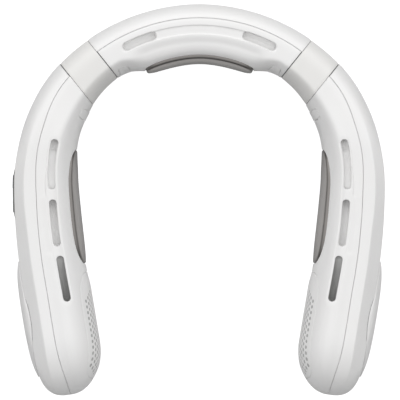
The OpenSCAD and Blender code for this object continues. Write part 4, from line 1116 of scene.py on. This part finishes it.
# %% Control panel
panel_proud, panel_power, panel_back, panel_edge_r, button_hole_r = 0.75, 4, 0.6, 0.25, 3.3
face = wall_piece("control_panel_face", "open", **panel, back=panel_back, edge_r=panel_edge_r,
                  height=lambda share, s: panel_proud * (1 - share ** panel_power))
cut(face, [round_cutter(panel["s0"] + side * button_at, button_hole_r, cross_reach) for side in (-1, 1)])
dress(face, black_pmma, "black_gloss_plastic", "left_arm", "control_panel")
print("the panel has two holes,", 2 * button_at, "mm apart")

# %% [markdown]
# ## Everything inside
# The pieces behind the slots and seams keep their own meshes, and each takes the finish of its real
# material.

# %% Finishes of the pieces inside
inside = {"thermoelectric_module": ceramic, "heat_sink": fin_metal, "circuit_board": solder_mask,
          "control_board": solder_mask, "charging_socket": steel, "bracket": black_abs, "leaf": steel,
          "pin": steel, "motor": steel, "fan_housing": grey_abs, "impeller": black_abs, "duct": white_abs,
          "screws": steel, "battery_pad": foam, "battery": wrap, "button": grey_rubber}
curved_angle, plain_angle = math.radians(55), math.radians(30)
for name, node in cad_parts.items():
    key = next((k for k in inside if k in name), None)
    if key and not node.hide_render:
        node.data.materials.clear()
        node.data.materials.append(inside[key])
        node.data.shade_smooth()
        node.data.set_sharp_from_angle(angle=curved_angle if key in ("duct", "fan_housing") else plain_angle)
print("dressed the nodes that keep their own mesh")

# %% [markdown]
# ## Light and camera
# The photograph looks straight down in a white studio. A strongly lit floor would throw its light back onto
# the object, so the camera alone sees the floor's full glow. Between the arms the floor also has a soft
# glowing patch, a painted light, which lights the object a little and which the plates mirror.

# %% Floor
floor_size, floor_drop = 3.0, 0.2 * MM
camera_glow, mirror_glow, matte_glow = 0.85, 0.7, 0.3
patch_rim, patch_full = 52 * MM, 30 * MM
patch_low, patch_high = 0.08, 0.75
bpy.ops.mesh.primitive_plane_add(size=floor_size, location=(0, 0, -floor_drop))
floor = bpy.context.object
floor.name = "floor"
paper = bpy.data.materials.new("Paper backdrop white")
tree = cleared(paper)
rays = add(tree, "LightPath").outputs
matte = add(tree, "BsdfDiffuse", {"Color": linear("#bcbcbc")})
away = add(tree, "VectorMath", {0: add(tree, "TexCoord").outputs["Object"]}, operation="LENGTH")
# A painted light: a glowing patch round the middle of the floor, seen by every ray and most by mirror rays.
patch = add(tree, "MapRange", {"Value": away.outputs["Value"], "From Min": patch_rim, "From Max": patch_full,
                               "To Min": patch_low, "To Max": patch_high})
share = multiply_add(tree, rays["Is Glossy Ray"], mirror_glow, matte_glow)
near = multiply_add(tree, share, patch.outputs["Result"], 0.0)
strength = multiply_add(tree, rays["Is Camera Ray"], camera_glow, near)
glow = add(tree, "Emission", {"Color": (1, 1, 1, 1), "Strength": strength})
lit = add(tree, "AddShader", {0: matte.outputs["BSDF"], 1: glow.outputs["Emission"]})
add(tree, "OutputMaterial", {"Surface": lit.outputs[0]})
floor.data.materials.append(paper)
print(f"the patch of light is {2 * patch_rim / MM:.0f} mm across")

# %% [markdown]
# The light comes from above and from beyond the nape. Lamps would throw shadows with edges, and the
# photograph has none, so the sky itself gets brighter upwards and towards +Y.

# %% Sky
sky_up, sky_level, sky_nape, sky_least = 0.88, 0.385, 0.68, 0.02
world = bpy.data.worlds.new("studio")
bpy.context.scene.world = world
tree = cleared(world)
rays = add(tree, "LightPath").outputs
direction = add(tree, "SeparateXYZ", {"Vector": add(tree, "TexCoord").outputs["Generated"]})
height = multiply_add(tree, direction.outputs["Z"], sky_up, sky_level)
tilt = multiply_add(tree, direction.outputs["Y"], sky_nape, height)
least = add(tree, "Math", {0: tilt, 1: sky_least}, operation="MAXIMUM")
sky = add(tree, "Background", {"Color": (1, 1, 1, 1), "Strength": least.outputs[0]})
white = add(tree, "Background", {"Color": (1, 1, 1, 1), "Strength": 1.0})
pick = add(tree, "MixShader", {0: rays["Is Camera Ray"], 1: sky.outputs[0], 2: white.outputs[0]})
add(tree, "OutputWorld", {"Surface": pick.outputs[0]})
print(f"straight up the sky has a strength of {sky_up + sky_level:.2f}")

# %% [markdown]
# The photograph has almost no perspective, so the camera is far above and its lens is long. The view is 200
# mm wide at half the height of the arms.

# %% Camera
camera_height, view_width, camera_shift = 6.5, 0.2, 0.25 * MM
camera = bpy.data.objects.new("camera", bpy.data.cameras.new("camera"))
bpy.context.scene.collection.objects.link(camera)
bpy.context.scene.camera = camera
camera.location = (camera_shift, -camera_shift, camera_height)
camera.data.lens = camera.data.sensor_width * (camera_height - mid_z * MM) / view_width
bpy.context.scene.view_settings.view_transform = "Standard"
print(f"the lens is {camera.data.lens:.0f} mm long")
